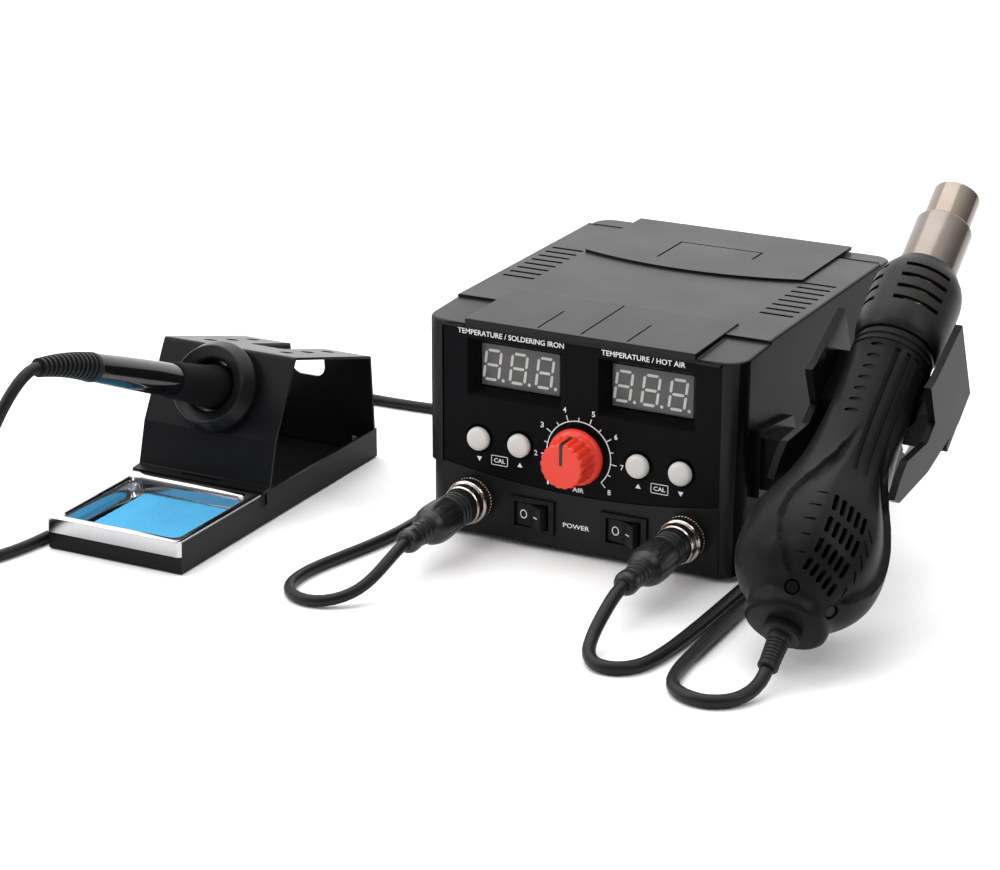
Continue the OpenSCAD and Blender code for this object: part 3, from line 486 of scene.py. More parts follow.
GUN_IN = [(50.5, -61.6, 18.8), (50.5, -69, 17.6), (50, -79, 12.6), (50, -89, 6.8),
          (52.5, -98, 3.6), (59, -105, 2.9), (68.5, -105, 2.9), (76, -97, 2.9), (79, -80, 2.9),
          (80, -50, 2.9), (80, -10, 2.9), (80, 30, 2.9), (80, 70, 2.9), (80, 110, 2.9),
          (80, 145, 2.9), (78, 168, 2.9), (70, 183, 2.9), (55, 191, 2.9), (38, 194, 2.9),
          (24, 194, 2.9), (12, 194, 2.9)]


def coil_points(centre, start_deg, turns, way, lead_r, outer):
    """Turns side by side on the bench; the last stretch climbs over the outer turn."""
    steps = round(turns * 28)
    points = []
    for k in range(1, steps):
        done = turns * k / steps
        inward = eased(min(1, done)) * 2.04 * lead_r
        last = eased(max(0, (done - turns + 0.5) / 0.5)) if turns - done < 0.5 else 0
        lift = math.sin(math.pi * last) * 2.1 * lead_r if turns - done < 0.5 else 0
        radius = outer - inward * (1 - last)
        angle = math.radians(start_deg) + way * math.tau * done
        points.append((centre[0] + radius * math.cos(angle), centre[1] + radius * math.sin(angle),
                       lead_r + 0.1 + lift))
    return points


def smooth_route(points, step):
    """The route through the middles of its legs, resampled about every step millimetres."""
    points = [Vector(p) for p in points]
    fine = [points[0]]
    for before, corner, after in zip(points, points[1:], points[2:]):
        first, last = (before + corner) / 2, (corner + after) / 2
        for k in range(8):
            t = (k + 0.5) / 8
            fine.append(first * (1 - t) ** 2 + corner * 2 * t * (1 - t) + last * t * t)
    fine.append(points[-1])
    out = [fine[0]]
    for point in fine[1:]:
        if (point - out[-1]).length >= step:
            out.append(point)
    if (fine[-1] - out[-1]).length < step * 0.5:
        out.pop()
    out.append(fine[-1])
    return out


def ring_faces(rows, sides):
    """The faces between rings of vertices that follow one another."""
    return [(i * sides + k, i * sides + nxt, (i + 1) * sides + nxt, (i + 1) * sides + k)
            for i in range(rows - 1) for k, nxt in ((k, (k + 1) % sides) for k in range(sides))]


def ring_ends(rows, sides):
    return [tuple(range(sides)), tuple((rows - 1) * sides + k for k in range(sides))]


def tube(name, route, lead_r, material, sides=16):
    """A round lead swept along millimetre points, with its ends closed."""
    path = [at(*p) for p in route]
    tangent = [(path[min(i + 1, len(path) - 1)] - path[max(i - 1, 0)]).normalized()
               for i in range(len(path))]
    side = tangent[0].cross(Vector((0, 0, 1))).normalized()
    verts = []
    for point, along in zip(path, tangent):
        side = (side - side.dot(along) * along).normalized()
        up = along.cross(side)
        for k in range(sides):
            angle = math.tau * k / sides
            verts.append(point + (side * math.cos(angle) + up * math.sin(angle)) * lead_r * MM)
    faces = ring_ends(len(path), sides) + ring_faces(len(path), sides)
    return new_piece(name, verts, faces, material=material), path


def make_leads():
    leads = (
        ("iron", "left", (IRON_DROP, IRON_OUT, IRON_IN), ((-201, 108), 180, 2.25, -1), 2.5, 30.5,
         at(-174, -150, 99), at(-174, -150, 22)),
        ("gun", "right", (GUN_DROP, GUN_OUT, GUN_IN), ((12, 225), 90, 1.5, 1), 2.8, 33.6,
         at(126, -96, 6), at(92, -96, 6)))
    for tool, side, (drop, away, back), coil, lead_r, coil_r, start, end in leads:
        name = tool + "_lead"
        turns = coil_points(*coil, lead_r, coil_r)
        lead, path = tube(name, smooth_route(drop + away[1:-1] + turns + back[-2::-1], 3), lead_r, MAT["lead"])
        stands_for(lead, "rubber_black", *(f"{name}_{part}" for part in ("drop", "out", "in", "coil")))
        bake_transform(lead)


# ---- printed marks

PANEL_Y = 0.6 - 0.03
INK = 0.05


def plate(name, outlines, y, material, slot="panel_black", thick=INK):
    """Thin flat marks: each outline is a list of (x, z) millimetres, facing the front."""
    verts = []
    faces = []
    for outline in outlines:
        start, count = len(verts), len(outline)
        for depth in (0, -thick):
            verts += [at(x, y + depth, z) for x, z in outline]
        faces.append(tuple(range(start, start + count)))
        faces.append(tuple(range(start + 2 * count - 1, start + count - 1, -1)))
        for k in range(count):
            nxt = (k + 1) % count
            faces.append((start + k, start + nxt, start + count + nxt, start + count + k))
    return stands_for(new_piece(name, verts, faces, "station", material), slot)


def arc_band(cx, cz, inner, outer, first, last, steps=48):
    """Closed outline of a band about (cx, cz); angles run clockwise from the top."""
    def rim(radius, angles):
        return [(cx + radius * math.sin(math.radians(a)), cz + radius * math.cos(math.radians(a)))
                for a in angles]
    sweep = [first + (last - first) * k / steps for k in range(steps + 1)]
    return rim(outer, sweep) + rim(inner, reversed(sweep))


def lettering(name, text, x0, x1, z0, z1):
    """Generic words or numbers, stretched to fill a box on the front."""
    curve = bpy.data.curves.new(name, "FONT")
    curve.body = text
    curve.extrude = 0.02
    curve.resolution_u = 3
    curve.offset = 0.012
    source = linked(name + "_text", curve)
    mesh = evaluated_mesh(source)
    bpy.data.objects.remove(source)
    bpy.data.curves.remove(curve)
    low = [min(v.co[i] for v in mesh.vertices) for i in range(3)]
    high = [max(v.co[i] for v in mesh.vertices) for i in range(3)]
    for v in mesh.vertices:
        across, up, out = ((v.co[i] - low[i]) / (high[i] - low[i]) for i in range(3))
        v.co = at(x0 + across * (x1 - x0), PANEL_Y - out * INK, z0 + up * (z1 - z0))
    mesh.name = name
    mesh.materials.clear()
    mesh.materials.append(MAT["ink"])
    piece = linked(name, mesh)
    tidy(mesh, smooth=False)
    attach(piece, "station")


KNOB_Z = 46.8
BUTTON_Z = 46.7
BUTTONS_X = (-47.8, -28.1, 28.1, 47.8)
SWITCH_X, SWITCH_Z = 22, 15.6
SOCKET_X, SOCKET_Z = 50.5, 18.8


def make_panel_print():
    lettering("word_iron", "TEMPERATURE / SOLDERING IRON", -58.2, -7.4, 93.2, 95.6)
    lettering("word_air_gun", "TEMPERATURE / HOT AIR", 10.2, 48.8, 93.2, 95.6)
    lettering("word_power", "POWER", -7.2, 5.4, 12.7, 14.8)
    lettering("word_air", "AIR", -2.8, 2.6, 29.8, 31.8)
    dial = [arc_band(0, KNOB_Z, 14.9, 15.35, -135, 135)]
    for k in range(15):
        angle = -135 + k * 270 / 14
        reach = 18 if k % 2 == 0 else 16.8
        half = math.degrees(0.2 / 16.5)
        dial.append(arc_band(0, KNOB_Z, 15.3, reach, angle - half, angle + half, 1))
    plate("dial_scale", dial, PANEL_Y, MAT["ink"])
    for number in range(1, 9):
        angle = math.radians(-135 + (number - 1) * 270 / 7)
        x, z = 20.6 * math.sin(angle), KNOB_Z + 20.6 * math.cos(angle)
        half = 0.75 if number > 1 else 0.4
        lettering(f"number_{number}", str(number), x - half, x + half, z - 1.2, z + 1.2)
    marks = []
    for x, way in zip(BUTTONS_X, (-1, 1, 1, -1)):
        z = BUTTON_Z - 9.3
        marks.append([(x - 1.25, z - way * 0.9), (x + 1.25, z - way * 0.9), (x, z + way * 1.2)])
    plate("arrow_marks", marks, PANEL_Y, MAT["ink"])
    for side, x in (("left", -38), ("right", 38)):
        z = BUTTON_Z - 8.9
        lettering(f"word_cal_{side}", "CAL", x - 2.7, x + 2.7, z - 0.95, z + 0.95)
        spans = [(x - 3.8, x + 3.8, z + s * 2.1 - 0.14, z + s * 2.1 + 0.14) for s in (-1, 1)]
        spans += [(x + s * 3.9 - 0.14, x + s * 3.9 + 0.14, z - 2, z + 2) for s in (-1, 1)]
        frame_lines = [[(x0, z0), (x1, z0), (x1, z1), (x0, z1)] for x0, x1, z0, z1 in spans]
        plate(f"cal_frame_{side}", frame_lines, PANEL_Y, MAT["ink"])


# ---- displays

DISPLAY_X = 31.2
DISPLAY_Z = 78.6
LEAN = math.tan(math.radians(7))


def bar(x, z, half_long, half_wide, upright):
    """A display segment: a bar with pointed ends."""
    flat = half_long - half_wide
    outline = [(-half_long, 0), (-flat, -half_wide), (flat, -half_wide),
               (half_long, 0), (flat, half_wide), (-flat, half_wide)]
    if upright:
        outline = [(b, a) for a, b in outline]
    return [(x + a, z + b) for a, b in outline]


def make_display(side, x):
    glass_y = 7.1
    block = box_piece(f"display_{side}_lens", (x - 18.8, glass_y, DISPLAY_Z - 9.5),
                      (x + 18.8, 15.3, DISPLAY_Z + 9.5), 0.25, "station", MAT["lens"])
    stands_for(block, "display_window", f"display_{side}")
    segments = []
    for k in (-1, 0, 1):
        cx = x + 12.6 * k - 0.9
        bars = [bar(cx, DISPLAY_Z + 6.6 * row, 2.85, 0.62, False) for row in (-1, 0, 1)]
        bars += [bar(cx + 3.55 * across, DISPLAY_Z + 3.3 * up, 2.85, 0.62, True)
                 for across in (-1, 1) for up in (-1, 1)]
        segments += [[(a + (b - DISPLAY_Z) * LEAN, b) for a, b in outline] for outline in bars]
        segments.append([(cx + 5.1 + 0.75 * math.cos(math.radians(a)),
                          DISPLAY_Z - 6.5 + 0.75 * math.sin(math.radians(a))) for a in range(0, 360, 24)])
    plate(f"display_{side}_digits", segments, glass_y + 0.02, MAT["segment"], "display_window", 0.12)


def box_piece(name, low, high, bevel, body, material, space=None):
    """A rounded box between two millimetre corners."""
    work = bmesh.new()
    bmesh.ops.create_cube(work, size=1)
    for v in work.verts:
        v.co = Vector([low[i] + (v.co[i] + 0.5) * (high[i] - low[i]) for i in range(3)]) * MM
    bmesh.ops.bevel(work, geom=work.edges[:], offset=bevel * MM, segments=3, affect="EDGES", profile=0.5)
    mesh = bpy.data.meshes.new(name)
    work.to_mesh(mesh)
    work.free()
    mesh.transform(space if space is not None else Matrix.Translation(HOME))
    piece = linked(name, mesh)
    tidy(mesh)
    mesh.materials.append(material)
    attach(piece, body)
    return piece


# ---- small controls

def front_space(x, z, y=0.0):
    """Space whose +Z points out of the front face at (x, z)."""
    return Matrix.Translation(at(x, y, z)) @ turned(90, "X")


def make_knob():
    def scallops(angle, radius, height):
        """Eighteen soft flutes round the body, fading into the skirt and the top edge."""
        if radius < 9.2 or height < 4.9:
            return radius
        depth = 0.62 * eased(min(1, (height - 4.9) / 1.6))
        wave = 0.5 - 0.5 * math.cos(18 * angle)
        return radius - depth * wave ** 2.2
    body = rounded([(5.7, 1.65), (12.6, 1.65), (12.7, 3.1), (12.1, 4.5), (10.75, 5.6), (10.45, 7),
                    (10.2, 15.6), (9.5, 16.75), (0, 16.8)], 0.8)
    knob = lathe("knob_cap", body, "knob", MAT["red"], front_space(0, KNOB_Z), 216, scallops)
    stands_for(knob, "knob_red", "air_knob")
    pointer = box_piece("knob_line", (-0.72, -16.95, KNOB_Z + 0.6), (0.72, -16.4, KNOB_Z + 10.2), 0.15,
                        "knob", MAT["mark"])
    side = box_piece("knob_line_side", (-0.72, -16.7, KNOB_Z + 9.7), (0.72, -6.4, KNOB_Z + 10.45), 0.15,
                     "knob", MAT["mark"])
    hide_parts("knob_pointer")


def make_buttons():
    for k, x in enumerate(BUTTONS_X, 1):
        cap = rounded([(5.15, -3.9), (5.2, 1.4), (4.55, 2.35), (3.2, 2.85), (0, 3.0)], 1.3, 6)
        piece = lathe(f"button_cap_{k}", [(0, -3.9)] + cap, f"button_{k}", MAT["cap"],
                      front_space(x, BUTTON_Z), 72)
        stands_for(piece, "button_grey", f"button_{k}")
        rim = rounded([(5.35, -0.2), (5.35, -0.75), (6.1, -0.82), (6.5, -0.6)], 0.2)
        collar = lathe(f"button_collar_{k}", rim, "station", MAT["panel"], front_space(x, BUTTON_Z), 72)


def make_rockers():
    for side, x in (("left", -SWITCH_X), ("right", SWITCH_X)):
        body = f"rocker_{side}"
        softened(body, 0.45, 3, 20, MAT["switch"])
        for name, cut in (("o", -1), ("dash", 1)):
            # each mark lies on its own face of the rocker, which slopes away from the middle
            lean = math.atan2(1.8, 7.6) * cut
            face = (Matrix.Translation(at(x, 0, SWITCH_Z)) @ turned(-20)
                    @ moved(0, -0.6, 0) @ Matrix.Rotation(-lean, 4, "Z"))
            mid = 3.7 * cut
            if name == "o":
                ring = [(mid + 1.75 * math.sin(a), 2.0 * math.cos(a), mid + 1.35 * math.sin(a), 1.6 * math.cos(a))
                        for a in (math.tau * k / 40 for k in range(40))]
                verts = [Vector((px, y, pz)) * MM for ox, oz, ix, iz in ring
                         for y in (0.02, -0.05) for px, pz in ((ox, oz), (ix, iz))]
                faces = []
                for k in range(40):
                    a, b = 4 * k, 4 * ((k + 1) % 40)
                    faces += [(a, b, b + 1, a + 1), (a + 2, a + 3, b + 3, b + 2), (a, a + 2, b + 2, b),
                              (a + 1, b + 1, b + 3, a + 3)]
                mark = new_piece(f"{body}_{name}", verts, faces, body, MAT["ink"], face)
            else:
                mark = box_piece(f"{body}_{name}", (mid - 1.5, -0.05, -0.22), (mid + 1.5, 0.02, 0.22), 0.02,
                                 body, MAT["ink"], face)


def make_connectors():
    for side, x in (("left", -SOCKET_X), ("right", SOCKET_X)):
        space = front_space(x, SOCKET_Z)

        def knurl(angle, radius, height):
            if radius < 9.6 or not 1.9 < height < 6.4:
                return radius
            return radius - 0.34 * (0.5 - 0.5 * math.cos(44 * angle)) ** 1.4
        ring = rounded([(7.5, 1.55), (9.5, 1.55), (9.9, 1.95), (9.9, 6.4), (9.45, 7.1), (8.9, 7.5),
                        (8.85, 11.1), (8.3, 12), (7.95, 11.6), (7.95, 8.5), (7.5, 8.5)], 0.25)
        nut = lathe(f"coupling_{side}", ring, f"plug_ring_{side}", MAT["nickel"], space, 264, knurl)
        stands_for(nut, "nickel", f"plug_ring_{side}")
        outline = [(0, 6), (6.6, 6), (6.6, 9), (7.8, 9.1), (7.9, 16.1), (7.2, 16.5), (7.2, 17.3), (8.0, 17.7),
                   (8.0, 19.1), (7.2, 19.5), (7.2, 20.5), (8.1, 20.9), (8.1, 22.3), (7.3, 22.7),
                   (7.3, 23.7), (8.2, 24.2), (8.7, 28), (8.85, 33), (8.7, 37), (7.9, 40.6), (6.3, 43.2),
                   (4.8, 44.4), (5.35, 44.9), (5.3, 46.7), (4.3, 47.2), (4.3, 48.1), (5.15, 48.5),
                   (5.1, 50.3), (4.1, 50.8), (4.1, 51.7), (4.95, 52.1), (4.9, 53.9), (4.1, 54.5),
                   (5.25, 55.3), (5.25, 58.5), (4.7, 60.4), (3.4, 61.5), (2.4, 61.6), (0, 61.6)]

        def fins(angle, radius, height):
            if 25 < height < 40:
                return radius - 0.3 * (0.5 - 0.5 * math.cos(12 * angle)) ** 6
            return radius
        plug = lathe(f"plug_{side}_body", rounded(outline, 0.35, 3), "station", MAT["plug"], space, 144, fins)
        stands_for(plug, "rubber_black", f"plug_{side}")


# ---- hot-air gun

GUN_SKIN = [(5, 0), (14.6, 0), (15.9, 0.5), (16.9, 1.6), (17.2, 3.6), (17.3, 6), (18.4, 8.4), (20.4, 10.6),
           (23, 13.4), (25.2, 16.2), (27.1, 19.4), (28.6, 23), (29.5, 27), (29.9, 31), (29.9, 35), (29.3, 40.5),
           (28.1, 46.5), (26.3, 52.5), (24.3, 58), (22.4, 63), (20.8, 68), (19.5, 73), (18.4, 79), (17.5, 86),
           (16.9, 93), (16.5, 101), (16.35, 110), (16.4, 118), (16.6, 126), (17, 130.6), (17.2, 131.2), (16.5, 131.6),
           (16.5, 132.4), (17.2, 132.9), (17.2, 134.3), (16.5, 134.7), (16.5, 135.5), (17.2, 136), (17.2, 137.3),
           (16.5, 137.7), (16.5, 138.9), (15.1, 139.6), (15, 149.8)]
GUN_BORE = [(13.2, 149.9), (13.2, 128), (13.6, 112), (13.9, 96), (14.9, 84), (16.6, 74), (19.6, 62), (23.2, 51),
          (25.6, 41), (26.2, 34), (25.6, 27), (23.2, 20.4), (19.2, 14.4), (13, 9), (12.6, 3), (5, 2.6)]
# The spoon-shaped field on the front: its middle, and the half angles of its outer
# crease and of its flat middle band at each height, in degrees.
FIELD = -94
CREASE = [(10, 31), (16, 43), (25, 52), (34, 57), (44, 58), (54, 54), (64, 47), (74, 38), (84, 29), (92, 21)]
BAND = [(12, 20), (20, 24), (48, 25), (62, 24), (76, 20), (92, 14)]
FIELD_TOP = 94


def finer(points, step):
    """A lathe outline whose long legs are filled along a smooth curve."""
    pts = [Vector(p) for p in points]
    out = []
    for i in range(len(pts) - 1):
        a, b = pts[i], pts[i + 1]
        before = pts[i - 1] if i > 0 else a * 2 - b
        after = pts[i + 2] if i + 2 < len(pts) else b * 2 - a
        out.append(tuple(a))
        if (b - a).length < 2.2 or (before - a).length < 2.2 or (after - b).length < 2.2:
            continue
        count = int((b - a).length / step)
        for k in range(1, count + 1):
            t = k / (count + 1)
            out.append(tuple(0.5 * (2 * a + (b - before) * t + (2 * before - 5 * a + 4 * b - after) * t * t
                                    + (3 * a - before - 3 * b + after) * t ** 3)))
    out.append(tuple(pts[-1]))
    return out


def table(h, rows):
    """Reads a smooth value from (height, value) rows."""
    if h <= rows[0][0]:
        return rows[0][1]
    for (h0, v0), (h1, v1) in zip(rows, rows[1:]):
        if h <= h1:
            return v0 + (v1 - v0) * eased((h - h0) / (h1 - h0))
    return rows[-1][1]


def gun_form(angle, radius, height):
    """The gun is round but for the field in front: a flatter band with a hollow on each side."""
    if radius < 17.2 or not 9 < height < FIELD_TOP or radius < table(height, SKIN) - 0.6:
        return radius
    off = abs((math.degrees(angle) - FIELD + 180) % 360 - 180)
    crease, band = table(height, CREASE), table(height, BAND)
    ends = eased(min(1, (height - 9) / 6)) * eased(min(1, (FIELD_TOP - height) / 24))
    if off >= crease:
        return radius + 0.45 * ends * max(0, 1 - (off - crease) / 14) ** 2
    if off <= band:
        return radius - ends * (0.45 + 0.6 * (1 - (off / band) ** 2))
    t = (off - band) / (crease - band)
    hollow = 0.45 + 1.6 * eased(min(1, t / 0.8))
    rise = max(0, (t - 0.9) / 0.1)
    return radius + ends * (0.45 * rise - hollow * (1 - rise))


SKIN = [(h, r) for r, h in GUN_SKIN[4:30]]


def block_of(verts, space=None, faces=None):
    """A cutting block between an outline and its copy, which make up the two halves of verts."""
    n = len(verts) // 2
    if faces is None:
        faces = [tuple(range(n)), tuple(range(2 * n - 1, n - 1, -1))]
        faces += [(k, (k + 1) % n, n + (k + 1) % n, n + k) for k in range(n)]
    mesh = bpy.data.meshes.new("block")
    mesh.from_pydata([tuple(v) for v in verts], [], faces)
    if space is not None:
        mesh.transform(space)
    tidy(mesh)
    return mesh


def prism(outline, y0, y1, space):
    """A cutting block: an (x, z) outline swept along Y."""
    return block_of([Vector((x, y, z)) * MM for y in (y0, y1) for x, z in outline], space)


def ellipse(half_x, half_z, count):
    """An (x, z) outline about the origin."""
    angles = [math.tau * j / count for j in range(count)]
    return [(half_x * math.cos(a), half_z * math.sin(a)) for a in angles]


def capsule(half, z0, z1, steps=8):
    """Outline of an upright slot with round ends."""
    top = [(half * math.cos(math.pi * k / steps), z1 - half + half * math.sin(math.pi * k / steps))
           for k in range(steps + 1)]
    return top + [(-x, z0 + z1 - z) for x, z in top]


def carve(piece, blocks, sharp=38, overlapping=False):
    """Takes the blocks out of a piece; both are in the piece's own coordinates."""
    work = bmesh.new()
    for mesh in blocks:
        work.from_mesh(mesh)
    joined = bpy.data.meshes.new("cutters")
    work.to_mesh(joined)
    work.free()
    tool = linked("cutters", joined)
    cut = piece.modifiers.new("cut", "BOOLEAN")
    cut.object = tool
    cut.operation = "DIFFERENCE"
    cut.solver = "EXACT"
    cut.use_self = overlapping
    result = evaluated_mesh(piece)
    piece.modifiers.clear()
    piece.data = result
    bpy.data.objects.remove(tool)
    merge_close(result, 2e-7)
    tidy(result, sharp=sharp)


def grip_groove(x):
    """Cutting block for a shallow groove that follows the front of the grip at x."""
    floor = [(67, 19.3), (76, 17.2), (86, 16.2), (100, 15.6), (118, 15.5), (130, 15.9)]
    outline = [(-math.sqrt(r * r - x * x), z) for z, r in floor] + [(-30, 130), (-30, 67)]
    return block_of([(along * MM, y * MM, z * MM) for along in (x - 1.1, x + 1.1) for y, z in outline])


def make_gun_body():
    body = lathe("gun_body", finer(GUN_SKIN, 1.6) + GUN_BORE, None, MAT["gun"], None, 288, gun_form, closed=True)
    blocks = []

    def sink(outline, depth, turn, height, lean, reach=(-3, 0)):
        """A cutting block whose outline lies on the skin, turned about the gun and leaning in the skin."""
        blocks.append(prism(outline, *reach, turned(turn) @ moved(0, -depth, height) @ lean))
    rows = ((40.9, 49.2), (30.3, 37.9), (21.3, 27.6), (14.4, 19.3))
    for i in range(5):
        for low, high in rows:
            slot = capsule(1.0, low - 0.9 * i, high - 0.9 * i)
            blocks.append(prism(slot, -40, -12, moved(-9.9 + 3.4 * i, 0, 0)))
    blocks += [grip_groove(-5.4 + 4.75 * i) for i in range(4)]
    nail = ellipse(3.1, 0.95, 24)
    for k in range(7):
        sink(nail, 16.35, -49, 95.5 + 5.67 * k, turned(20, "X") @ turned(-7), (-2.4, 0.75))
    for k in range(5):
        low = 19.6 + 7.05 * k
        sink(capsule(0.45, -2.8, 2.8), table(low, SKIN), -35.5, low, turned(86, "Y"), (-3, 1.35))
        low = 40 - 6.5 * k
        sink(capsule(0.42, -3.5, 3.5), table(low, SKIN), 15.5 + 0.55 * k * k, low,
             turned(-37, "Y"), (-3, 1.2))
    hole = ellipse(3.2, 3.2, 32)
    for side in (-1, 1):
        sink(hole, 16.7, 31.5 * side, 9.2, turned(30, "X"), (-10, 0))
    # the two halves meet in a fine line along both sides
    seam = [(-0.16, -1), (0.16, -1), (0.16, 152), (-0.16, 152)]
    blocks += [prism(seam, -31, -29.5, turned(90 * side)) for side in (-1, 1)]
    carve(body, blocks)
    body.data.transform(gun_space)
    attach(body, "gun")
    stands_for(body, "gun_black", "gun_front_shell", "gun_rear_shell")


def make_gun_front():
    shroud = [(15.4, 139.8), (17.2, 139.8), (17.8, 140.4), (18.6, 143.4), (19.1, 146.6), (19.25, 149), (19.3, 158),
              (19.25, 167.4), (18.95, 170), (18.2, 173), (17.1, 175.7), (16.3, 176.9), (14, 180.5), (13.6, 180.9),
              (13.2, 180.6), (13.3, 179), (15.4, 175), (17.2, 169), (17.4, 149), (15.4, 146)]
    guard = lathe("gun_shroud", shroud, None, MAT["shroud"], None, 180, closed=True)
    blocks = []
    steps = 20
    for k in range(4):
        for a in (-141, -231, -321):
            z = 152 + 6 * k
            arc = [math.radians(a + 62 * j / steps) for j in range(steps + 1)]
            verts = [Vector((r * math.cos(t), r * math.sin(t), h)) * MM
                     for t in arc for r, h in ((14, z), (23, z), (23, z + 2), (14, z + 2))]
            faces = [(4 * j + c, 4 * j + (c + 1) % 4, 4 * j + 4 + (c + 1) % 4, 4 * j + 4 + c)
                     for j in range(steps) for c in range(4)]
            faces += [(0, 1, 2, 3), tuple(4 * steps + c for c in (3, 2, 1, 0))]
            blocks.append(block_of(verts, faces=faces))
    carve(guard, blocks)
    guard.data.transform(gun_space)
    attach(guard, "gun")
    stands_for(guard, "gun_black", "heat_shroud")
    wall = rounded([(11.6, 151), (12.4, 151), (12.4, 205.6), (11.9, 206.4), (11.2, 206.2), (11.5, 205)], 0.6)
    barrel = lathe("gun_barrel_tube", wall + [(11.6, 203)], "gun", MAT["steel"], gun_space, 128, closed=True)
    stands_for(barrel, "barrel_steel", "gun_barrel")

    def worn(angle, radius, height):
        """The nozzle's tube is not quite true near its mouth."""
        pinch = max(0, (height - 208) / 16)
        return radius - 0.12 * pinch * (1 + math.sin(2 * angle + 0.7))
    tip = lathe("gun_nozzle", rounded([(9.5, 190), (11.1, 190), (11.1, 193), (10.3, 193.2), (10.3, 223.2),
                                       (10.2, 224), (9.7, 224), (9.5, 223.2)], 0.3) + [(9.5, 192)],
                "nozzle", MAT["tinted"], gun_space, 128, worn, closed=True)
    stands_for(tip, "nozzle_steel", "nozzle")
    ribs = [(0, 4.6), (7.6, 4.6), (7.6, 3.2), (4.8, 3.2), (4.8, -0.2), (7.5, -0.2), (7.7, -0.7), (7.7, -4.2),
            (7.2, -4.9), (4.9, -5), (4.7, -6)]
    for k in range(7):
        z = -6.6 - 1.55 * k
        crest, root = 4.55 - 0.07 * k, 4.1 - 0.05 * k
        ribs += [(crest, z), (crest, z - 0.75), (root, z - 0.95), (root, z - 1.35)]
    ribs += [(4.25, -17.6), (4.2, -19), (3.7, -19.6), (0, -19.6)]
    boot = lathe("gun_boot_skin", ribs, "gun", MAT["rubber"], gun_space, 96)
    stands_for(boot, "rubber_black", "gun_boot")

# ---- iron

def make_iron():
    tube_out = [(0, -4), (5.8, -4), (6.6, 8), (7.25, 18), (7.4, 26), (7.4, 40), (7.25, 55), (6.95, 70),
                (6.5, 84), (6.1, 93.4), (6.0, 94.1), (0, 94.1)]
    handle = lathe("iron_handle", finer(tube_out, 2.5), "iron", MAT["gloss"], iron_space, 128)
    stands_for(handle, "handle_gloss", "iron_tube")
    grip_out = rounded([(6.6, -12), (8.9, -12), (10.1, -9.4), (10.1, -4.5), (9.3, 4), (8.7, 14), (8.35, 30),
                        (8.2, 32.6), (7.6, 33.4), (7.46, 33.4)], 1.6, 6)
    grip = lathe("iron_grip_foam", grip_out + [(7.46, 26), (7.3, 18), (6.66, 8), (5.95, -3.9), (6.6, -4)],
                 "iron", MAT["foam"], iron_space, 128, closed=True)
    stands_for(grip, "foam_grip", "iron_grip")
    collar = rounded([(3.36, -20), (4.3, -20), (5.6, -17.9), (5.6, -12), (6.4, -11.5), (6.4, -4.1),
                      (3.36, -4.1)], 0.3)
    nut = lathe("iron_collar", collar, "iron", MAT["nickel"], iron_space, 96, closed=True)
    stands_for(nut, "nickel", "iron_nut")
    taper = rounded([(0, -71), (0.45, -71), (1.4, -64), (2.6, -58), (3.15, -55), (3.15, -52.3),
                     (2.6, -52), (2.6, -30), (0, -30)], 0.3)
    bit = lathe("iron_bit", taper, "iron", MAT["tinted"], iron_space, 72)
    stands_for(bit, "tip_metal", "iron_tip")
    softened("iron_barrel", 0.1, 1, 40, MAT["steel"])


RIB = 2 / 3  # pitch of the boot's ribs, against a 4.4 mm ring


def make_iron_boot():
    """Ribs of the boot bend with the lead: a stack of rings, each turned a little from the last."""
    space = iron_space @ moved(0, 0, 98) @ turned(0.7, "X")
    frames = []
    radius = 6.1
    for k in range(12):
        frames.append((space.copy(), radius))
        space = space @ moved(0, 0, 4.4 * RIB) @ turned(0.93, "X")
        radius -= 0.187
    sides = 72
    verts = []

    def ring(matrix, r, h):
        for j in range(sides):
            a = math.tau * j / sides
            verts.append(matrix @ (Vector((r * math.cos(a), r * math.sin(a), h)) * MM))
    root = [(0.05, 92), (4.5, 92), (4.5, 94.2), (6.2, 94.2), (6.45, 95.2), (6.35, 97.9), (5.5, 98.1)]
    for r, h in rounded(root, 0.3, 3):
        ring(iron_space, r, h)
    for matrix, r in frames:
        for dr, h in ((-1.15, 0.1), (-1.15, 1.5), (-0.1, 1.75), (0, 2.0), (0, 3.9), (-0.1, 4.2), (-1.15, 4.35)):
            ring(matrix, r + dr, h * RIB)
    last, r = frames[-1]
    for dr, h in ((-0.3, 4.4), (-0.2, 4.6), (-1.2, 4.7)):
        ring(last, r + dr - 0.3, h * RIB)
    rows = len(verts) // sides
    faces = ring_faces(rows, sides) + ring_ends(rows, sides)
    boot = new_piece("iron_boot_ribs", verts, faces, "iron", MAT["rubber"])
    stands_for(boot, "rubber_black", "iron_boot")

# ---- stand

STAND_X = -174
SX0, SX1 = STAND_X - 34.25, STAND_X + 34.25
STAND_Y = -96.3


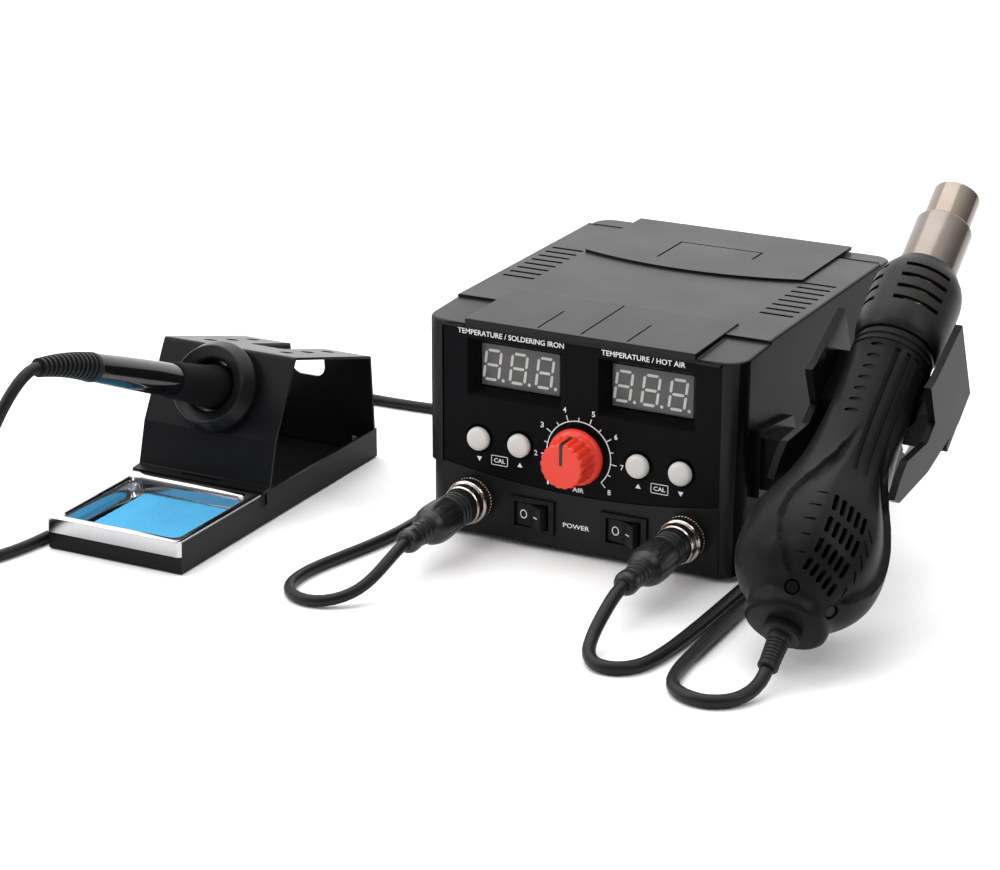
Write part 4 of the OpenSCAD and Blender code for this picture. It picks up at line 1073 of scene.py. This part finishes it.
def sheet_outline(path, radii, thick, steps=8):
    """Both faces of a folded sheet seen from the side, each fold bent to its radius."""
    pts = [Vector(p) for p in path]
    line = [pts[0]]
    for before, corner, after, radius in zip(pts, pts[1:], pts[2:], radii):
        a, b = (before - corner).normalized(), (after - corner).normalized()
        half = a.angle(b) / 2
        reach = min(radius / math.tan(half), (before - corner).length * 0.48, (after - corner).length * 0.48)
        bend = reach * math.tan(half)
        centre = corner + (a + b).normalized() * (bend / math.sin(half))
        start, end = corner + a * reach - centre, corner + b * reach - centre
        for k in range(steps + 1):
            t = k / steps
            line.append(centre + start.slerp(end, t, start))
    line.append(pts[-1])
    left, right = [], []
    for i, p in enumerate(line):
        along = (line[min(i + 1, len(line) - 1)] - line[max(i - 1, 0)]).normalized()
        side = Vector((-along.y, along.x)) * thick / 2
        left.append(p + side)
        right.append(p - side)
    return [tuple(p) for p in left + right[::-1]]


def sheet_across(name, outline, x0, x1, body, material):
    """A folded sheet's (y, z) outline drawn out along X; its ends are strips of small faces."""
    n = len(outline)
    verts = [at(x, y, z) for x in (x0, x1) for y, z in outline]
    faces = [(k, (k + 1) % n, n + (k + 1) % n, n + k) for k in range(n)]
    for first in (0, n):
        faces += [(first + k, first + k + 1, first + n - 2 - k, first + n - 1 - k) for k in range(n // 2 - 1)]
    return new_piece(name, verts, faces, body, material)


def round_rect(x0, x1, y0, y1, radius, steps=8):
    """Points round a rectangle with round corners, anticlockwise from the right of the front side."""
    out = []
    for cx, cy, first in ((x1 - radius, y0 + radius, -90), (x1 - radius, y1 - radius, 0),
                          (x0 + radius, y1 - radius, 90), (x0 + radius, y0 + radius, 180)):
        for k in range(steps + 1):
            a = math.radians(first + 90 * k / steps)
            out.append((cx + radius * math.cos(a), cy + radius * math.sin(a)))
    return out


def make_stand():
    folds = sheet_outline([(-30.6, 15.3), (-23.85, 15.3), (-21.6, 36), (-2.55, 73.9), (69.2, 53.55), (69.2, 4)],
                          (1.6, 3.5, 5, 4.6), 1.2)
    cover = sheet_across("stand_cover_sheet", folds, SX0 - 0.3, SX1 + 0.3, None, MAT["coat"])
    ring_space = Matrix.Translation(at(STAND_X, -12.6, 54.2)) @ turned(62.5, "X")
    blocks = [prism(ellipse(13.6, 13.6, 64), -8, 8, ring_space @ turned(-90, "X")),
              tall_block(round_rect(STAND_X - 9, STAND_X + 9.6, 30, 84, 2.5), 44, 90),
              prism(round_rect(STAND_X - 9, STAND_X + 9.6, 37, 80, 5.5), 64, 80, Matrix.Translation(HOME))]
    for x in (-21, 19.5):
        for k in range(4):
            y = 15 + 18 * k
            slot = round_rect(STAND_X + x - 2.6, STAND_X + x + 2.6, y - 2.6, y + 5.2, 2.59)
            blocks.append(tall_block(slot, 40, 90))
    blocks.append(tall_block(round_rect(STAND_X - 10.4, STAND_X + 10.4, -27.9, -26.4, 0.7), 10, 20))
    for x in (SX0 - 1, SX1 - 1.3):
        blocks.append(tall_block(round_rect(x, x + 2.3, 60, 75, 0.3), 0, 14.5))
    carve(cover, blocks, overlapping=True)
    edged(cover, 0.22, 40, 2)
    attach(cover, "station")
    stands_for(cover, "stand_paint", "stand_cover")
    softened("stand_base", 0.9, 3, 40, MAT["coat"])
    outline = rounded([(11.6, -12), (11.6, -16), (12.4, -16), (13.2, -15), (13.2, 0.2), (20.6, 0.2), (21, 0.9),
                       (20.7, 2), (17.9, 7.9), (17.3, 8.3), (16.6, 8.1), (12.9, 6.4), (11.8, 5.4), (11.6, 3)], 0.5, 5)
    ring = lathe("iron_holder_ring", outline, "station", MAT["ring"], ring_space, 128, closed=True)
    stands_for(ring, "handle_gloss", "holder_ring")


def tall_block(outline, z0, z1):
    """A cutting block: an (x, y) outline in station millimetres, standing from z0 to z1."""
    return block_of([at(x, y, z) for z in (z0, z1) for x, y in outline])


def make_tray():
    """Pressed tray: loops of a rounded rectangle, from the rim's edge over and down to the floor."""
    x0, x1, y0, y1 = SX0 - 0.4, SX1 + 0.4, STAND_Y - 1.2, -31.2

    def loop(inset, radius):
        return round_rect(x0 + inset, x1 - inset, y0 + inset, y1 - inset, radius, 10)

    def drop(points, z_front, z_else):
        """Only the front edge is turned down."""
        return [z_front if y < y0 + 1.25 else z_else for x, y in points]
    # inset from the edge, height, corner radius
    levels = [(0.05, 14.8, 1.8), (0.0, 15.05, 1.8), (0.12, 15.3, 1.7),
              (0.4, 15.4, 1.6), (2.2, 15.42, 2.5), (3.4, 15.38, 3.4), (4.1, 15.2, 4.2),
              (4.7, 14.75, 4.8), (5.05, 14.0, 5), (5.3, 12, 5.2), (5.6, 9, 5.4), (6.0, 7.2, 5.6),
              (6.8, 5.7, 5.8), (8, 4.75, 6.2), (9.6, 4.25, 6.8), (13.5, 4.08, 7.5)]
    top = [(loop(inset, radius), z) for inset, z, radius in levels]
    n = len(top[0][0])
    inner_lip, edge, lip = loop(0.7, 1.6), loop(0.35, 1.7), loop(0, 1.8)
    sequence = [(inner_lip, [14.7] * n), (inner_lip, drop(inner_lip, 8.6, 14.7)), (edge, drop(edge, 8.2, 14.68)),
                (lip, drop(lip, 8.5, 14.72))]
    sequence += [(points, [z] * n) for points, z in top]
    sequence.append((top[-1][0], [top[-1][1] - 0.6] * n))
    sequence += [(points, [z - 0.62] * n) for points, z in top[-2:4:-1]]
    verts, faces = [], []
    for points, heights in sequence:
        verts += [at(x, y, z) for (x, y), z in zip(points, heights)]
    rows = len(sequence)
    floor_row = 4 + len(top) - 1
    for i in range(rows):
        if i == floor_row:
            continue
        nxt = (i + 1) % rows
        for k in range(n):
            j = (k + 1) % n
            faces.append((i * n + k, i * n + j, nxt * n + j, nxt * n + k))
    faces.append(tuple(floor_row * n + k for k in range(n)))
    faces.append(tuple((floor_row + 1) * n + k for k in range(n)))
    tray = new_piece("tray_pressing", verts, faces, "tray", MAT["tray"])
    tidy(tray.data, sharp=50)
    stands_for(tray, "tray_steel", "sponge_tray")
    tongue = box_piece("tray_tongue", (SX0 + 4, -32, 14), (SX1 - 4, -26.6, 14.6), 0.12, "tray", MAT["tray"])


def make_sponge():
    """Cellulose sponge: a soft-edged block with an uneven, pitted top."""
    x0, x1, y0, y1 = SX0 + 10.6, SX1 - 10.6, STAND_Y + 10.6, -37.6
    n = 150  # cells each way
    low, high = 4.2, 8.3
    verts, faces = [], []
    for i in range(n + 1):
        for j in range(n + 1):
            x, y = x0 + (x1 - x0) * i / n, y0 + (y1 - y0) * j / n
            inside = 0 < i < n and 0 < j < n
            wave = noise.noise(Vector((x * 0.35, y * 0.35, 0))) * 0.12
            pores = noise.voronoi(Vector((x * 0.8, y * 0.8, 3)))[0][0]
            pit = max(0, 0.32 - pores) * 1.5
            edge_in = noise.noise(Vector((x * 0.6, y * 0.6, 9))) * 0.25 * 0.5 + 0.1
            edge = min(x - x0, x1 - x, y - y0, y1 - y)
            z = high - 0.7 * max(0, 1 - edge / 1.4) ** 2 + (wave - pit if inside else 0)
            if i in (0, n):
                x += edge_in * (1 if i == 0 else -1)
            if j in (0, n):
                y += edge_in * (1 if j == 0 else -1)
            verts.append(at(x, y, z))
    row = n + 1
    for i in range(n):
        for j in range(n):
            a = i * row + j
            faces.append((a, a + row, a + row + 1, a + 1))
    border = ([i * row for i in range(row)] + [n * row + j for j in range(1, row)]
              + [i * row + n for i in range(n - 1, -1, -1)] + list(range(n - 1, 0, -1)))
    base = len(verts)
    verts += [Vector((verts[index].x, verts[index].y, low * MM)) for index in border]
    count = len(border)
    for k in range(count):
        j = (k + 1) % count
        faces.append((border[k], border[j], base + j, base + k))
    faces.append(tuple(base + k for k in range(count)))
    sponge = new_piece("sponge_block", verts, faces, "sponge", MAT["sponge"])
    stands_for(sponge, "sponge_blue", "sponge")


# ---- case

def rim_weight(edge):
    """How widely an edge of the cover is rounded: the top's outer rim in full, the raised
    middle of the front and its lip in part, the rest not at all."""
    places = [(v.co - HOME) / MM for v in edge.verts]

    def outer(x, y, z):
        near_side = x > 74.2 or y > 176.7
        in_corner = x > 65.4 and abs(y - 88.5) > 79.4 and math.hypot(x - 65.5, abs(y - 88.5) - 79.5) > 8.8
        return z > 90 and (near_side or in_corner)

    def middle(x, y, z):
        return x < 54.1 and z > 97.4 and (y < -1.1 or x > 53.9 and y < 47 or 43 < y < 46.1)
    if all(outer(abs(p.x), p.y, p.z) for p in places):
        return 1.0
    if all(middle(abs(p.x), p.y, p.z) for p in places):
        return 0.4
    return 0.0


def make_case():
    # the cover's and the base's left and right sides take the painted-shade side material
    softened("top_cover", 0.22, 2, 30, MAT["case"], 1.3, rim_weight, MAT["shaded_flank"])
    softened("base_shell", 0.3, 2, 32, MAT["case"], shaded_flank=MAT["shaded_flank"])
    softened("front_panel", 0.3, 3, 30, MAT["panel"])
    softened("switch_bezels", 0.3, 2, 32, MAT["switch"])
    softened("cradle", 0.6, 3, 32, MAT["cradle"])
    softened("mains_inlet", 0.35, 2, 32, MAT["switch"])
    for node in ("case_feet", "stand_feet"):
        softened(node, 0.2, 2, 40, MAT["rubber"])
    for node in ("case_screws", "stand_rivets"):
        softened(node, 0.15, 2, 40, MAT["zinc"])
    softened("gun_screws", 0.15, 2, 40, MAT["switch"])
    softened("panel_sockets", 0.15, 2, 40, MAT["nickel"])


make_case()
make_panel_print()
make_display("left", -DISPLAY_X)
make_display("right", DISPLAY_X)
make_knob()
make_buttons()
make_rockers()
make_connectors()
make_gun_body()
make_gun_front()
make_iron()
make_iron_boot()
make_stand()
make_tray()
make_sponge()
make_leads()

# ---- finishes of the CAD nodes that stay visible

FINISH = {
    "switch": ("button_switches", "fan_impeller"),
    "zinc": ("knob_shaft",),
    "board": ("main_board", "display_board"),
    "paint": ("fan_motor", "knob_pot"),
    "core": ("transformer",),
    "ceramic": ("heater_core",),
}
for finish, nodes in FINISH.items():
    for node in nodes:
        dress(node, MAT[finish])
